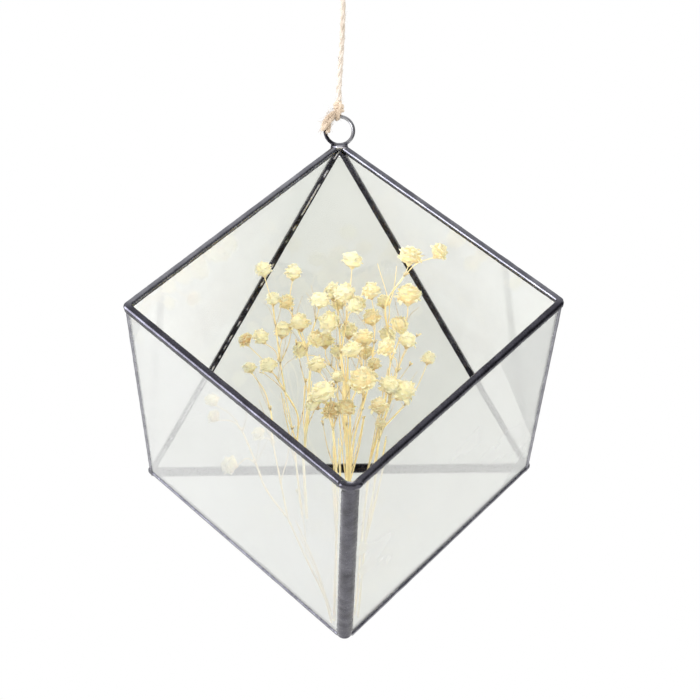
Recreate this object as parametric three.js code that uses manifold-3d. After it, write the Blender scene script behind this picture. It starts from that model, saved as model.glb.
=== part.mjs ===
// A hanging glass terrarium with dried baby's breath.
//
// The body is a cube of glass hung by one corner. Its front upper face is left open as the mouth,
// and its rear upper corner is cut off. Foil-and-solder seams join the panes, a wire ring is
// soldered on the apex, and natural twine is tied on the ring.
//
// Millimetres, +Z up, +X to the right, the mouth looks to -Y. The origin is the inside top of the
// twine loop that the whole thing hangs by.

import * as THREE from 'three';
import { mergeVertices } from 'three/addons/utils/BufferGeometryUtils.js';
import Module from 'manifold-3d';

const wasm = await Module();
wasm.setup();

// ---------------------------------------------------------------- driving dimensions

const edge = 120;                // cube edge, from seam centre to seam centre
const glassThickness = 1.5;
const glassClearance = 0.12;     // between the glass and the foil round it
const mitreGap = 0.3;            // between two seams at a corner
const cornerNip = 1.0;           // each glass corner is nipped off this far
const apexNip = 3.5;             // and further under the cap of the ring

const ringDiameter = 13.2;       // outside
const ringWire = 1.3;
const ringLift = 6.4;            // centre of the ring above the apex
const ringShift = 0.3;           // the ring was soldered a little to the right
const capRadius = 3.9;           // cap of solder that holds the ring
const capHalfHeight = 2.5;
const capDrop = 0.5;             // centre of the cap below the apex
const seatGap = 0.3;             // between two pieces that touch

const twineDiameter = 2.3;
const knotWidth = 5.1;
const knotHeight = 4.1;
const ringKnotLift = 16.5;       // centre of the lower knot above the apex
const topKnotLift = 67.3;        // centre of the upper knot above the apex
const topKnotShift = 2.2;        // the taut twine leans a little to the right
const loopLength = 23;           // inside, from the upper knot's centre to the top of the loop
const loopWidth = 9;             // between the loop's two legs, centre to centre

// How far a seam's metal reaches. `half` is half its thickness across the glass, `reach` how far
// it lies over the glass from the edge, `bead` the radius of its rounded outside, and `inset` how
// far the glass stops short of the edge.
const upperRim = { half: 1.45, reach: 1.3, back: 1.4, bead: 1.3, inset: -0.2 };
const lowerRim = { half: 1.65, reach: 1.5, back: 1.7, bead: 1.5, inset: -0.2 };
const squareSeam = { half: 1.15, reach: 1.75, bead: 2.2, inset: 1.25 };
const lowerSeam = { half: 1.3, reach: 1.75, bead: 1.6, inset: 1.25 };
const frontSeam = { half: 1.5, reach: 3.45, bead: 3.7, inset: 1.25 };
const wideSeam = { half: 1.15, reach: 2.35, bead: 2.6, inset: 0.85 };
const slimSeam = { half: 1.15, reach: 1.8, bead: 2.6, inset: 0.85 };
const lapRound = 0.25;           // rounding of the thin edge of a lap
const innerFillet = 0.35;        // solder in the inner corner of a seam

// ---------------------------------------------------------------- materials

const material = (color, roughness, metalness, more = {}) =>
  new THREE.MeshStandardMaterial({ color, roughness, metalness, ...more });
const glass = material(0xe6ebe6, 0.05, 0, { transparent: true, opacity: 0.35 });
const patina = material(0x3d3c40, 0.35, 0.8);
const ringMetal = material(0x77777a, 0.3, 0.9);
const jute = material(0xd9c4a8, 0.9, 0);
const driedFlower = material(0xf1e6bb, 0.9, 0);

// ---------------------------------------------------------------- solids and meshes

const UP = new THREE.Vector3(0, 0, 1);
const vec = (x, y, z) => new THREE.Vector3(x, y, z);

// A closed geometry as a solid for joining and cutting.
function solid(geometry) {
  const bare = geometry.index ? geometry.clone() : geometry;
  bare.deleteAttribute('normal');
  bare.deleteAttribute('uv');
  const merged = mergeVertices(bare, 1e-4);
  return new wasm.Manifold(new wasm.Mesh({
    numProp: 3,
    vertProperties: Float32Array.from(merged.attributes.position.array),
    triVerts: Uint32Array.from(merged.index.array),
  }));
}

// A solid back as a named mesh.
function mesh(name, shape, look) {
  const result = shape.getMesh();
  const geometry = new THREE.BufferGeometry();
  geometry.setAttribute('position', new THREE.BufferAttribute(result.vertProperties, 3));
  geometry.setIndex(new THREE.BufferAttribute(result.triVerts, 1));
  const part = new THREE.Mesh(geometry, look);
  part.name = name;
  return part;
}

const join = (solids) => solids.reduce((all, next) => all.add(next));

// A big block that fills the half of space behind a plane.
function halfSpace(point, outward) {
  const size = 500;
  const block = new THREE.BoxGeometry(size, size, size);
  const turn = new THREE.Quaternion().setFromUnitVectors(UP, outward.clone().normalize());
  block.applyQuaternion(turn);
  const centre = point.clone().addScaledVector(outward.clone().normalize(), -size / 2);
  return solid(block.translate(centre.x, centre.y, centre.z));
}

// A round bar of `sides` faces along a smooth curve through the points.
function bar(points, radius, sides, steps) {
  const outline = Array.from({ length: sides }, (_, i) => {
    const angle = (i / sides) * 2 * Math.PI;
    return new THREE.Vector2(radius * Math.cos(angle), radius * Math.sin(angle));
  });
  const curve = points.length > 2
    ? new THREE.CatmullRomCurve3(points)
    : new THREE.LineCurve3(points[0], points[1]);
  return solid(new THREE.ExtrudeGeometry(new THREE.Shape(outline), {
    steps, extrudePath: curve, bevelEnabled: false,
  }));
}

// A ball squashed to three half-sizes.
function ball(centre, halfX, halfY, halfZ, around = 12, down = 7) {
  const geometry = new THREE.SphereGeometry(1, around, down);
  geometry.rotateX(Math.PI / 2);
  geometry.scale(halfX, halfY, halfZ);
  return solid(geometry.translate(centre.x, centre.y, centre.z));
}

// ---------------------------------------------------------------- corners of the body

const apexZ = -(topKnotLift + loopLength);
const level = edge / Math.sqrt(3);          // the corners lie on three levels, this far apart
const girth = edge * Math.sqrt(2 / 3);      // and this far from the axis
const footZ = apexZ - 3 * level;

// A corner at a compass angle from the front, `levels` above the foot.
function corner(degrees, levels) {
  const angle = THREE.MathUtils.degToRad(degrees);
  return vec(girth * Math.sin(angle), -girth * Math.cos(angle), footZ + levels * level);
}

const corners = {
  apex: vec(0, 0, apexZ),
  left: corner(-60, 2),
  right: corner(60, 2),
  front: corner(0, 1),
  backLeft: corner(-120, 1),
  backRight: corner(120, 1),
  foot: vec(0, 0, footZ),
};
const middle = vec(0, 0, footZ + 1.5 * level);

const seams = [
  { name: 'rim_upper_left', ends: ['apex', 'left'], style: upperRim },
  { name: 'rim_upper_right', ends: ['apex', 'right'], style: upperRim },
  { name: 'rim_lower_left', ends: ['left', 'front'], style: lowerRim },
  { name: 'rim_lower_right', ends: ['front', 'right'], style: lowerRim },
  { name: 'seam_left', ends: ['left', 'backLeft'], style: squareSeam },
  { name: 'seam_right', ends: ['right', 'backRight'], style: squareSeam },
  { name: 'seam_front', ends: ['front', 'foot'], style: frontSeam },
  { name: 'seam_lower_left', ends: ['backLeft', 'foot'], style: lowerSeam },
  { name: 'seam_lower_right', ends: ['backRight', 'foot'], style: lowerSeam },
  { name: 'seam_back_left', ends: ['apex', 'backLeft'], style: slimSeam },
  { name: 'seam_back_right', ends: ['apex', 'backRight'], style: slimSeam },
  { name: 'seam_back', ends: ['backLeft', 'backRight'], style: wideSeam },
];

const panes = [
  { name: 'pane_front_left', corners: ['left', 'front', 'foot', 'backLeft'] },
  { name: 'pane_front_right', corners: ['front', 'right', 'backRight', 'foot'] },
  { name: 'pane_left', corners: ['apex', 'left', 'backLeft'] },
  { name: 'pane_right', corners: ['right', 'apex', 'backRight'] },
  { name: 'pane_back', corners: ['backRight', 'apex', 'backLeft'] },
  { name: 'pane_bottom', corners: ['foot', 'backRight', 'backLeft'] },
];

const joins = (seam, a, b) => seam.ends.includes(a) && seam.ends.includes(b);

for (const pane of panes) {
  const [a, b, c] = pane.corners.map((name) => corners[name]);
  pane.normal = b.clone().sub(a).cross(c.clone().sub(a)).normalize();
  if (pane.normal.dot(a.clone().sub(middle)) < 0) pane.normal.negate();
  pane.centre = pane.corners
    .reduce((sum, name) => sum.add(corners[name]), vec(0, 0, 0))
    .divideScalar(pane.corners.length);
}

// ---------------------------------------------------------------- glass

// Where two edges of a pane, each moved inward by its own inset, cross.
function crossing(point, alongA, inA, insetA, alongB, inB, insetB) {
  // point + inA * insetA + alongA * t lies insetB inside edge B
  const start = point.clone().addScaledVector(inA, insetA);
  const t = (insetB - start.clone().sub(point).dot(inB)) / alongA.dot(inB);
  return start.addScaledVector(alongA, t);
}

function paneMesh(pane) {
  const count = pane.corners.length;
  const sides = pane.corners.map((name, i) => {
    const next = pane.corners[(i + 1) % count];
    const along = corners[next].clone().sub(corners[name]).normalize();
    const inward = pane.normal.clone().cross(along);
    if (inward.dot(pane.centre.clone().sub(corners[name])) < 0) inward.negate();
    const seam = seams.find((each) => joins(each, name, next));
    return { along, inward, inset: seam.style.inset };
  });
  const outline = [];
  pane.corners.forEach((name, i) => {
    const before = sides[(i + count - 1) % count];
    const after = sides[i];
    const tip = crossing(corners[name], before.along, before.inward, before.inset,
      after.along, after.inward, after.inset);
    const nip = name === 'apex' ? apexNip : cornerNip;
    outline.push(tip.clone().addScaledVector(before.along, -nip));
    outline.push(tip.clone().addScaledVector(after.along, nip));
  });
  const across = sides[0].along;
  const upward = pane.normal.clone().cross(across);
  const shape = new THREE.Shape(outline.map((point) => {
    const offset = point.clone().sub(pane.centre);
    return new THREE.Vector2(offset.dot(across), offset.dot(upward));
  }));
  const plate = new THREE.ExtrudeGeometry(shape, { depth: glassThickness, bevelEnabled: false });
  plate.translate(0, 0, -glassThickness / 2);
  const place = new THREE.Matrix4().makeBasis(across, upward, pane.normal);
  place.setPosition(pane.centre);
  plate.applyMatrix4(place);
  return mesh(pane.name, solid(plate), glass);
}

// ---------------------------------------------------------------- seams and rims

const slotHalf = glassThickness / 2 + glassClearance;

// Points of an arc, in a seam's section.
function arc(centreX, centreY, radius, from, to, steps) {
  return Array.from({ length: steps + 1 }, (_, i) => {
    const angle = THREE.MathUtils.degToRad(from + ((to - from) * i) / steps);
    return new THREE.Vector2(centreX + radius * Math.cos(angle), centreY + radius * Math.sin(angle));
  });
}

// Section of a rim: x runs into the pane, y along its normal. A rounded bead folded over the edge
// of one pane, with a slot for the glass.
function rimSection({ half, reach, back, bead, inset }) {
  const slotEnd = inset - glassClearance;
  const beadX = bead - back;
  const beadY = half - bead;
  return new THREE.Shape([
    ...arc(reach - lapRound, half - lapRound, lapRound, 0, 90, 1),
    ...arc(beadX, beadY, bead, 90, 180, 4),
    ...arc(beadX, -beadY, bead, 180, 270, 4),
    ...arc(reach - lapRound, lapRound - half, lapRound, 270, 360, 1),
    new THREE.Vector2(reach, -slotHalf),
    new THREE.Vector2(slotEnd, -slotHalf),
    new THREE.Vector2(slotEnd, slotHalf),
    new THREE.Vector2(reach, slotHalf),
  ]);
}

// Section of a seam between two panes: x runs inward between the panes, y across them. `lean` is
// the angle of each pane from x. The outside is one wide bead, the inside a small fillet.
function seamSection({ half, reach, bead, inset }, lean) {
  const sin = Math.sin(lean);
  const cos = Math.cos(lean);
  // u runs along the pane from the edge, v along its outward normal
  const onPane = (u, v) => new THREE.Vector2(u * cos - v * sin, u * sin + v * cos);
  const turned = (points) => points.map((point) => onPane(point.x, point.y));
  const degrees = THREE.MathUtils.radToDeg(lean);
  const slotEnd = inset - glassClearance;
  const upper = [
    ...arc((bead - half) / sin, 0, bead, 180, 90 + degrees, 3),
    ...turned(arc(reach - lapRound, half - lapRound, lapRound, 90, 0, 1)),
    onPane(reach, slotHalf),
    onPane(slotEnd, slotHalf),
    onPane(slotEnd, -slotHalf),
    onPane(reach, -slotHalf),
    ...turned(arc(reach - lapRound, lapRound - half, lapRound, 0, -90, 1)),
    onPane(half / Math.tan(lean) + innerFillet, -half),
  ];
  const lower = upper.slice(1).reverse().map((point) => new THREE.Vector2(point.x, -point.y));
  return new THREE.Shape([...upper, ...lower]);
}

const capCentre = vec(0, 0, apexZ - capDrop);

function seamMesh(seam) {
  const [start, end] = seam.ends.map((name) => corners[name]);
  const along = end.clone().sub(start).normalize();
  const sides = panes.filter((pane) => seam.ends.every((name) => pane.corners.includes(name)));
  const inward = sides.map((pane) => {
    const offset = pane.centre.clone().sub(start);
    return offset.addScaledVector(along, -offset.dot(along)).normalize();
  });
  let section;
  let x;
  if (sides.length === 1) {
    section = rimSection(seam.style);
    [x] = inward;
  } else {
    section = seamSection(seam.style, inward[0].angleTo(inward[1]) / 2);
    x = inward[0].clone().add(inward[1]).normalize();
  }
  const overrun = 8;
  const length = start.distanceTo(end) + 2 * overrun;
  const geometry = new THREE.ExtrudeGeometry(section, { depth: length, bevelEnabled: false });
  const place = new THREE.Matrix4().makeBasis(x, along.clone().cross(x), along);
  place.setPosition(start.clone().addScaledVector(along, -overrun));
  let shape = solid(geometry.applyMatrix4(place));
  // each end is mitred against every other seam that meets it there
  seam.ends.forEach((name, i) => {
    const away = i === 0 ? along : along.clone().negate();
    for (const other of seams) {
      if (other === seam || !other.ends.includes(name)) continue;
      const far = other.ends.find((each) => each !== name);
      const otherWay = corners[far].clone().sub(corners[name]).normalize();
      const keep = away.clone().sub(otherWay).normalize();
      const plane = corners[name].clone().addScaledVector(keep, mitreGap / 2);
      shape = shape.subtract(halfSpace(plane, keep));
    }
  });
  if (seam.ends.includes('apex')) {
    shape = shape.subtract(ball(capCentre, capRadius + seatGap, capRadius + seatGap,
      capHalfHeight + seatGap));
  }
  return mesh(seam.name, shape, patina);
}

// ---------------------------------------------------------------- ring

const ringCentre = vec(ringShift, 0, apexZ + ringLift);
const ringRadius = (ringDiameter - ringWire) / 2;

function ringMesh() {
  const hoop = new THREE.TorusGeometry(ringRadius, ringWire / 2, 6, 28).rotateX(Math.PI / 2);
  const wire = solid(hoop.translate(ringCentre.x, ringCentre.y, ringCentre.z));
  const cap = ball(capCentre, capRadius, capRadius, capHalfHeight);
  return mesh('hanging_ring', wire.add(cap), ringMetal);
}

// ---------------------------------------------------------------- twine

const twineRadius = twineDiameter / 2;
const strandRadius = twineRadius * 0.9;     // a loose end
const twineX = ringShift - 0.2;             // the twine hangs on the top of the ring
const nooseTurns = [-0.7, 0.8];             // two turns lie side by side on the wire
const ringKnot = vec(twineX, 0, apexZ + ringKnotLift);
const topKnot = vec(topKnotShift, 0, apexZ + topKnotLift);

// A turn of twine round the ring's wire, seen end on.
function noose(shift) {
  const turnRadius = ringWire / 2 + seatGap + twineRadius;
  const turn = new THREE.TorusGeometry(turnRadius, twineRadius, 6, 10).rotateY(Math.PI / 2);
  return solid(turn.translate(twineX + shift, 0, ringCentre.z + ringRadius));
}

// The frayed end parts into two strands, which hang down to the left in front of the ring. Points
// are counted from the knot.
const frayedStrands = [
  [vec(-1, -1, -0.6), vec(-3.6, -2.9, -2.4), vec(-6.2, -3.2, -5.8), vec(-8, -3, -10)],
  [vec(-1, -1, 0), vec(-4, -3.4, -0.6), vec(-7, -4.4, -3), vec(-9, -4.4, -6.2)],
];

function ringKnotMesh() {
  const knot = ball(ringKnot, knotWidth / 2, knotWidth / 2, knotHeight / 2);
  const tails = frayedStrands.map((strand) => {
    const points = strand.map((point) => point.clone().add(ringKnot));
    return bar(points, strandRadius, 6, 5);
  });
  return mesh('twine_ring_knot', join([knot, ...nooseTurns.map(noose), ...tails]), jute);
}

// The standing twine, from the lower knot to the upper one, not quite straight.
const standingTwine = [
  vec(ringKnot.x, 0, ringKnot.z + knotHeight / 2 + seatGap),
  vec(ringKnot.x, 0, ringKnot.z + 8),
  vec(ringKnot.x + 0.6, 0.1, ringKnot.z + 16),
  vec(ringKnot.x + 1.3, 0.2, ringKnot.z + 25),
  vec(ringKnot.x + 1.8, 0.1, ringKnot.z + 34),
  vec(topKnot.x, 0, topKnot.z - 8),
  vec(topKnot.x, 0, topKnot.z - knotHeight / 2 - seatGap),
];

function topLoopMesh() {
  const knot = ball(topKnot, knotWidth / 2, knotWidth / 2, knotHeight / 2);
  const half = loopWidth / 2;
  const eye = bar([
    topKnot.clone().add(vec(-0.4, 0, 0.6)),
    vec(-half * 0.7, 0, -14.7),
    vec(-half, 0, -6.7),
    vec(-half * 0.72, 0, -1.6),
    vec(0, 0, twineRadius),
    vec(half * 0.72, 0, -1.6),
    vec(half, 0, -6.7),
    vec(half * 0.8, 0, -14.7),
    topKnot.clone().add(vec(0.4, 0, 0.6)),
  ], twineRadius, 6, 22);
  const tail = bar([
    topKnot.clone(), topKnot.clone().add(vec(3, -1, -1)), topKnot.clone().add(vec(5.6, -1.4, -4)),
  ], strandRadius, 6, 3);
  return mesh('twine_top_loop', join([knot, eye, tail]), jute);
}

// ---------------------------------------------------------------- dried flowers

// A double flower is three layers of petals that stand out from a small core. Its surface is one
// set of rings round the stalk, in fractions of the flower's radius: how high each ring lies, how
// far it stands out at the petals' tips, and how far in the notches between them.
const petalCount = 5;
const headRings = [
  { height: -0.5, tip: 0.28, notch: 0.28, turned: false },    // calyx
  { height: -0.08, tip: 1, notch: 0.52, turned: false },      // outer petals
  { height: 0.36, tip: 0.88, notch: 0.42, turned: true },     // middle petals
  { height: 0.8, tip: 0.58, notch: 0.26, turned: false },     // inner petals
];
const calyxPoint = -0.95;
const crown = 0.6;
const petalWaver = 0.12;         // petals differ by this much, as a fraction of the radius

// Repeatable random numbers from 0 to 1.
function seeded(seed) {
  let state = seed;
  return () => {
    state = (state * 1664525 + 1013904223) % 4294967296;
    return state / 4294967296;
  };
}

function flowerHead(centre, axis, diameter, random) {
  const radius = diameter / 2;
  const columns = 2 * petalCount;
  const spin = random() * Math.PI;
  const points = [vec(0, 0, calyxPoint)];
  for (const { height, tip, notch, turned } of headRings) {
    for (let i = 0; i < columns; i += 1) {
      const atTip = (i % 2 === 0) !== turned;
      const waver = atTip && tip > notch ? petalWaver * (random() - 0.5) * 2 : 0;
      const out = (atTip ? tip : notch) + waver;
      const angle = (i / columns) * 2 * Math.PI + spin;
      points.push(vec(out * Math.cos(angle), out * Math.sin(angle), height + waver));
    }
  }
  points.push(vec(0, 0, crown));
  const faces = [];
  const at = (ring, i) => 1 + ring * columns + (i % columns);
  for (let i = 0; i < columns; i += 1) {
    faces.push(0, at(0, i + 1), at(0, i));
    for (let ring = 0; ring < headRings.length - 1; ring += 1) {
      faces.push(at(ring, i), at(ring, i + 1), at(ring + 1, i));
      faces.push(at(ring, i + 1), at(ring + 1, i + 1), at(ring + 1, i));
    }
    faces.push(points.length - 1, at(headRings.length - 1, i), at(headRings.length - 1, i + 1));
  }
  const turn = new THREE.Quaternion().setFromUnitVectors(UP, axis);
  points.forEach((point) => point.multiplyScalar(radius).applyQuaternion(turn).add(centre));
  const geometry = new THREE.BufferGeometry().setFromPoints(points);
  geometry.setIndex(faces);
  return solid(geometry);
}

// Every spray is one stem from its cut foot to its first fork, side branches that leave it, and
// the flowers that end them. Points are [right, back, up] from the foot corner of the glass, and a
// flower is such a point with its diameter.
const sprays = [
  {
    name: 'spray_side',
    stem: [[-3.4, -1.5, 6.5], [-6.2, -3, 17], [-14.3, -8, 34.5], [-22, -13, 52]],
    branches: [
      { route: [[-22, -13, 52], [-31, -13, 64], [-35.6, -12, 75]], flowers: [[-46, -10, 74, 6.8]] },
      { route: [[-33, -13, 69], [-37, -11, 79], [-41, -8, 88]],
        flowers: [[-53, -4, 94, 5], [-54, -2, 101, 6]] },
      { route: [[-22, -13, 52], [-25, -12, 67], [-28, -10, 82]], flowers: [[-34, -12, 87, 5.2]] },
      { route: [[-28, -10, 82], [-30, -4, 96]], flowers: [[-39, 2, 114, 5.4]] },
    ],
  },
  {
    name: 'spray_left',
    stem: [[-15.8, 33.3, 48.6], [-18.9, 22, 78], [-18.7, 14, 94], [-24, 8, 104]],
    branches: [
      { route: [[-24, 8, 104], [-27, 4, 109]], flowers: [[-31, 0, 115, 6.8], [-41, 4, 126, 6]] },
      { route: [[-24, 8, 104], [-26, 3, 116]], flowers: [[-34, -4, 127, 7], [-25, 2, 130, 7.5]] },
      { route: [[-26, 3, 116], [-28, -1, 132]], flowers: [[-29, -2, 143, 5.7], [-33, -8, 155, 6.2]] },
    ],
  },
  {
    name: 'spray_left_tall',
    stem: [[-13.8, 33, 48.1], [-15.4, 22, 78], [-14.6, 12, 94], [-13.3, 4, 113]],
    branches: [
      { route: [[-13.3, 4, 113], [-15, 0, 122]], flowers: [[-17.6, -2, 133, 7.5], [-11, -7, 126, 6]] },
      { route: [[-15, 0, 122], [-20, 1, 134]], flowers: [[-23.4, 4, 142, 6.5], [-20.6, -6, 154, 7]] },
      { route: [[-15, 0, 122], [-11, -8, 134]], flowers: [[-9.3, -12, 142, 7]] },
    ],
  },
  {
    name: 'spray_centre_low',
    stem: [[-2.5, -4.2, 7.8], [-1.7, -9, 44], [-2.6, -14, 71], [-3.9, -17, 88]],
    branches: [
      { route: [[-3.9, -17, 88], [-6, -22, 95]], flowers: [[-8.4, -26, 105, 8], [-12, -22, 99, 6.4]] },
      { route: [[-3.9, -17, 88], [-3, -15, 92]], flowers: [[-4.4, -10, 96, 7], [1, -14, 97, 7]] },
      { route: [[-3.9, -17, 88], [-5, -20, 101]], flowers: [[-2.2, -22, 110, 5.3], [-10.6, -18, 115, 6.8]] },
    ],
  },
  {
    name: 'spray_centre_tall',
    stem: [[0, 3.3, 6], [2.4, 0, 66], [1.6, -2, 100], [-0.3, -3, 120]],
    branches: [
      { route: [[-0.3, -3, 120], [-1, -4, 131]],
        flowers: [[-3.6, -2, 146, 7.5], [-5.1, -10, 133, 8], [-1, 5, 142, 7]] },
      { route: [[-0.3, -3, 120], [1.6, -5, 132]],
        flowers: [[0.8, -12, 145, 7.5], [5.5, -13, 140, 7], [4.4, -8, 159, 7.2]] },
      { route: [[1.6, -2, 100], [3, 3, 118]], flowers: [[3.4, 6, 130, 7.5]] },
    ],
  },
  {
    name: 'spray_centre_right',
    stem: [[3.8, 0, 6], [3.6, -4, 69], [5.1, -8, 84], [8, -13, 96]],
    branches: [
      { route: [[8, -13, 96], [8.6, -17, 101]], flowers: [[6, -24, 108, 8], [10.5, -18, 110, 8.3]] },
      { route: [[8, -13, 96], [11, -11, 106]], flowers: [[13.4, -10, 115.5, 5.8]] },
      { route: [[8.6, -17, 101], [8, -19, 114]], flowers: [[3.8, -22, 121, 7], [8.6, -14, 126, 7.5]] },
      { route: [[11, -11, 106], [13.5, -9, 124]], flowers: [[12.7, -6, 135, 7], [11.9, -16, 145.5, 6.8]] },
    ],
  },
  {
    name: 'spray_right_low',
    stem: [[6.3, 0.9, 8.4], [9.6, -3, 44], [12.3, -8, 62], [16, -15, 88]],
    branches: [
      { route: [[13.6, -11, 74], [15, -18, 84]], flowers: [[15.3, -22, 91, 4.5], [14.8, -25, 98, 7.3]] },
      { route: [[16, -15, 88], [19, -16, 98]], flowers: [[19.4, -21, 107, 7.2], [24.8, -14, 105, 7.8]] },
      { route: [[19, -16, 98], [22.6, -18, 112]], flowers: [[17.7, -25, 122, 7], [27, -19, 125, 7]] },
      { route: [[16, -15, 88], [26, -9, 98]], flowers: [[36.6, -6, 118, 5.8]] },
    ],
  },
  {
    name: 'spray_right_tall',
    stem: [[5, 5.3, 8.8], [11.6, 6, 70], [17.5, 5, 93], [21, 0, 117]],
    branches: [
      { route: [[21, 0, 117], [19.4, -3, 130]], flowers: [[17.9, -3, 142, 6], [24, -8, 132, 7.5]] },
      { route: [[19.4, -3, 130], [20, -6, 140], [15, -8, 158]], flowers: [] },
      { route: [[20, -6, 140], [22, -8, 148], [23, -8, 157]], flowers: [] },
      { route: [[21, 0, 117], [26, -6, 130]], flowers: [[27.5, -13, 144, 9]] },
      { route: [[26, -6, 130], [34, -15, 145], [30, -17, 152]],
        flowers: [[28, -17, 160, 8.2], [40, -18, 162, 7]] },
    ],
  },
  {
    name: 'spray_back',
    stem: [[1.5, 9, 14.1], [4, 10, 70], [4, 12, 96], [2.7, 12, 108]],
    branches: [
      { route: [[2.7, 12, 108], [-4, 13, 115]], flowers: [[-17, 13, 122, 7], [-6.7, 15, 126, 7.5]] },
      { route: [[2.7, 12, 108], [0, 11, 114]], flowers: [[-1, 10, 121, 6.5]] },
      { route: [[4, 12, 98], [9, 10, 110]], flowers: [[10.5, 9, 121, 7], [20, 9, 128, 7]] },
    ],
  },
];

// the whole bunch leans a little towards its top
const bunchLean = THREE.MathUtils.degToRad(0.6);
const bunchScale = 0.99;
const bunchPivot = 126;          // height above the foot that the lean leaves in place

const stemRadius = 0.7;
const branchRadius = 0.45;
const stalkRadius = 0.36;
const stalkRoot = 0.7;           // how deep a stalk starts inside its branch
const footSpare = 3;             // drawn below a stem's foot before the cut
const stalkSpring = 0.4;         // how far a stalk follows its branch before it bends away
const flowerLift = 0.35;         // how far a flower turns upward from its stalk

// A point of a spray in its place in the glass.
function place([x, y, z]) {
  const lift = z - bunchPivot;
  const right = x * Math.cos(bunchLean) + lift * Math.sin(bunchLean);
  const up = lift * Math.cos(bunchLean) - x * Math.sin(bunchLean);
  return vec(bunchScale * right, y, footZ + bunchPivot + bunchScale * up);
}

function sprayMesh({ name, stem, branches }, index) {
  const random = seeded(41 + index);
  const stemPoints = stem.map(place);
  // the stem is drawn out below its foot, then cut flush with the glass it stands on
  const below = stemPoints[0].clone().sub(stemPoints[1]).normalize();
  stemPoints.unshift(stemPoints[0].clone().addScaledVector(below, footSpare));
  const parts = [bar(stemPoints, stemRadius, 6, 8)];
  for (const { route, flowers } of branches) {
    const routePoints = route.map(place);
    parts.push(bar(routePoints, branchRadius, 4, 2 * (routePoints.length - 1)));
    const fork = routePoints[routePoints.length - 1];
    const heading = fork.clone().sub(routePoints[routePoints.length - 2]).normalize();
    const root = fork.clone().addScaledVector(heading, -stalkRoot);
    for (const flower of flowers) {
      const diameter = flower[3];
      const centre = place(flower);
      const halfway = fork.clone().lerp(centre, 0.5);
      const bend = fork.clone().addScaledVector(heading, fork.distanceTo(centre) * stalkSpring);
      bend.lerp(halfway, 0.45);
      const axis = centre.clone().sub(bend).normalize().lerp(UP, flowerLift).normalize();
      const seat = centre.clone().addScaledVector(axis, -diameter * 0.2);
      parts.push(bar([root, bend, seat], stalkRadius, 4, 3));
      parts.push(flowerHead(centre, axis, diameter, random));
    }
  }
  let shape = join(parts);
  for (const pane of panes) {
    const inside = pane.centre.clone()
      .addScaledVector(pane.normal, -(glassThickness / 2 + seatGap));
    shape = shape.subtract(halfSpace(inside, pane.normal.clone().negate()));
  }
  return mesh(name, shape, driedFlower);
}

// ---------------------------------------------------------------- the whole

const terrarium = new THREE.Group();
terrarium.name = 'glass_terrarium';
panes.forEach((pane) => terrarium.add(paneMesh(pane)));
seams.forEach((seam) => terrarium.add(seamMesh(seam)));
terrarium.add(ringMesh());
terrarium.add(ringKnotMesh());
terrarium.add(mesh('twine_standing', bar(standingTwine, twineRadius, 8, 14), jute));
terrarium.add(topLoopMesh());
sprays.forEach((spray, index) => terrarium.add(sprayMesh(spray, index)));

export default terrarium;
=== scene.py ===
# %% [markdown]
# # A glass terrarium hung by one corner
# The object is a cube of clear glass that hangs by one corner. Its front upper face is open, its
# rear upper corner is cut off, and every edge is a hand-soldered seam with a dark patina. Dried
# baby's breath stands inside, and pale jute twine holds the whole thing by a wire ring.
# Each cell below makes one piece or one finish, and says why it is made that way.

# %% Load the frame
import math
import random

import bmesh
import bpy
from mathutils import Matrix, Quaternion, Vector, noise


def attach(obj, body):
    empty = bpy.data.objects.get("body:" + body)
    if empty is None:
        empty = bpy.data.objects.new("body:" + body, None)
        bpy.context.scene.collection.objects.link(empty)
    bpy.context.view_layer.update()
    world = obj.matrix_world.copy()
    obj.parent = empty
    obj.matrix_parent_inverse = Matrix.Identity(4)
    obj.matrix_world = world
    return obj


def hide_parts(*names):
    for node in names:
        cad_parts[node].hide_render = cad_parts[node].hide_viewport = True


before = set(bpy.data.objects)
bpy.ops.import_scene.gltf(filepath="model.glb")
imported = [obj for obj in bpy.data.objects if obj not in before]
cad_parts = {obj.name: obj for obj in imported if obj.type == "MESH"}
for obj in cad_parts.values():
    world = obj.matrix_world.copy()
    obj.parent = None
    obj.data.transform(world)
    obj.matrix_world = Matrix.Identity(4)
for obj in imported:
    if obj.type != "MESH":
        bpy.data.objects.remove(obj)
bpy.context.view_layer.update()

MM = 0.001

# %% [markdown]
# ## The cube's own geometry
# A cube that hangs by one corner has its other corners on three levels. Everything else hangs on
# these seven points, so they are worked out from the edge length and nothing is placed by eye.

# %% Corners of the glass body
EDGE = 120 * MM
LEVEL = EDGE / math.sqrt(3)
GIRTH = EDGE * math.sqrt(2 / 3)
APEX_Z = -90.3 * MM
FOOT_Z = APEX_Z - 3 * LEVEL
UP = Vector((0, 0, 1))


def corner(degrees, levels):
    """A corner at a compass angle from the front, some levels above the foot."""
    angle = math.radians(degrees)
    return Vector((GIRTH * math.sin(angle), -GIRTH * math.cos(angle), FOOT_Z + levels * LEVEL))


corners = {
    "apex": Vector((0, 0, APEX_Z)),
    "left": corner(-60, 2),
    "right": corner(60, 2),
    "front": corner(0, 1),
    "back_left": corner(-120, 1),
    "back_right": corner(120, 1),
    "foot": Vector((0, 0, FOOT_Z)),
}
middle = Vector((0, 0, FOOT_Z + 1.5 * LEVEL))
print("apex to foot: %.1f mm" % ((corners["apex"] - corners["foot"]).length / MM))

# %% [markdown]
# ## Camera
# The picture was taken from straight in front, level with the middle of the glass, about 0.7 m
# away. The small shift only puts the object where the picture has it.

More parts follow.
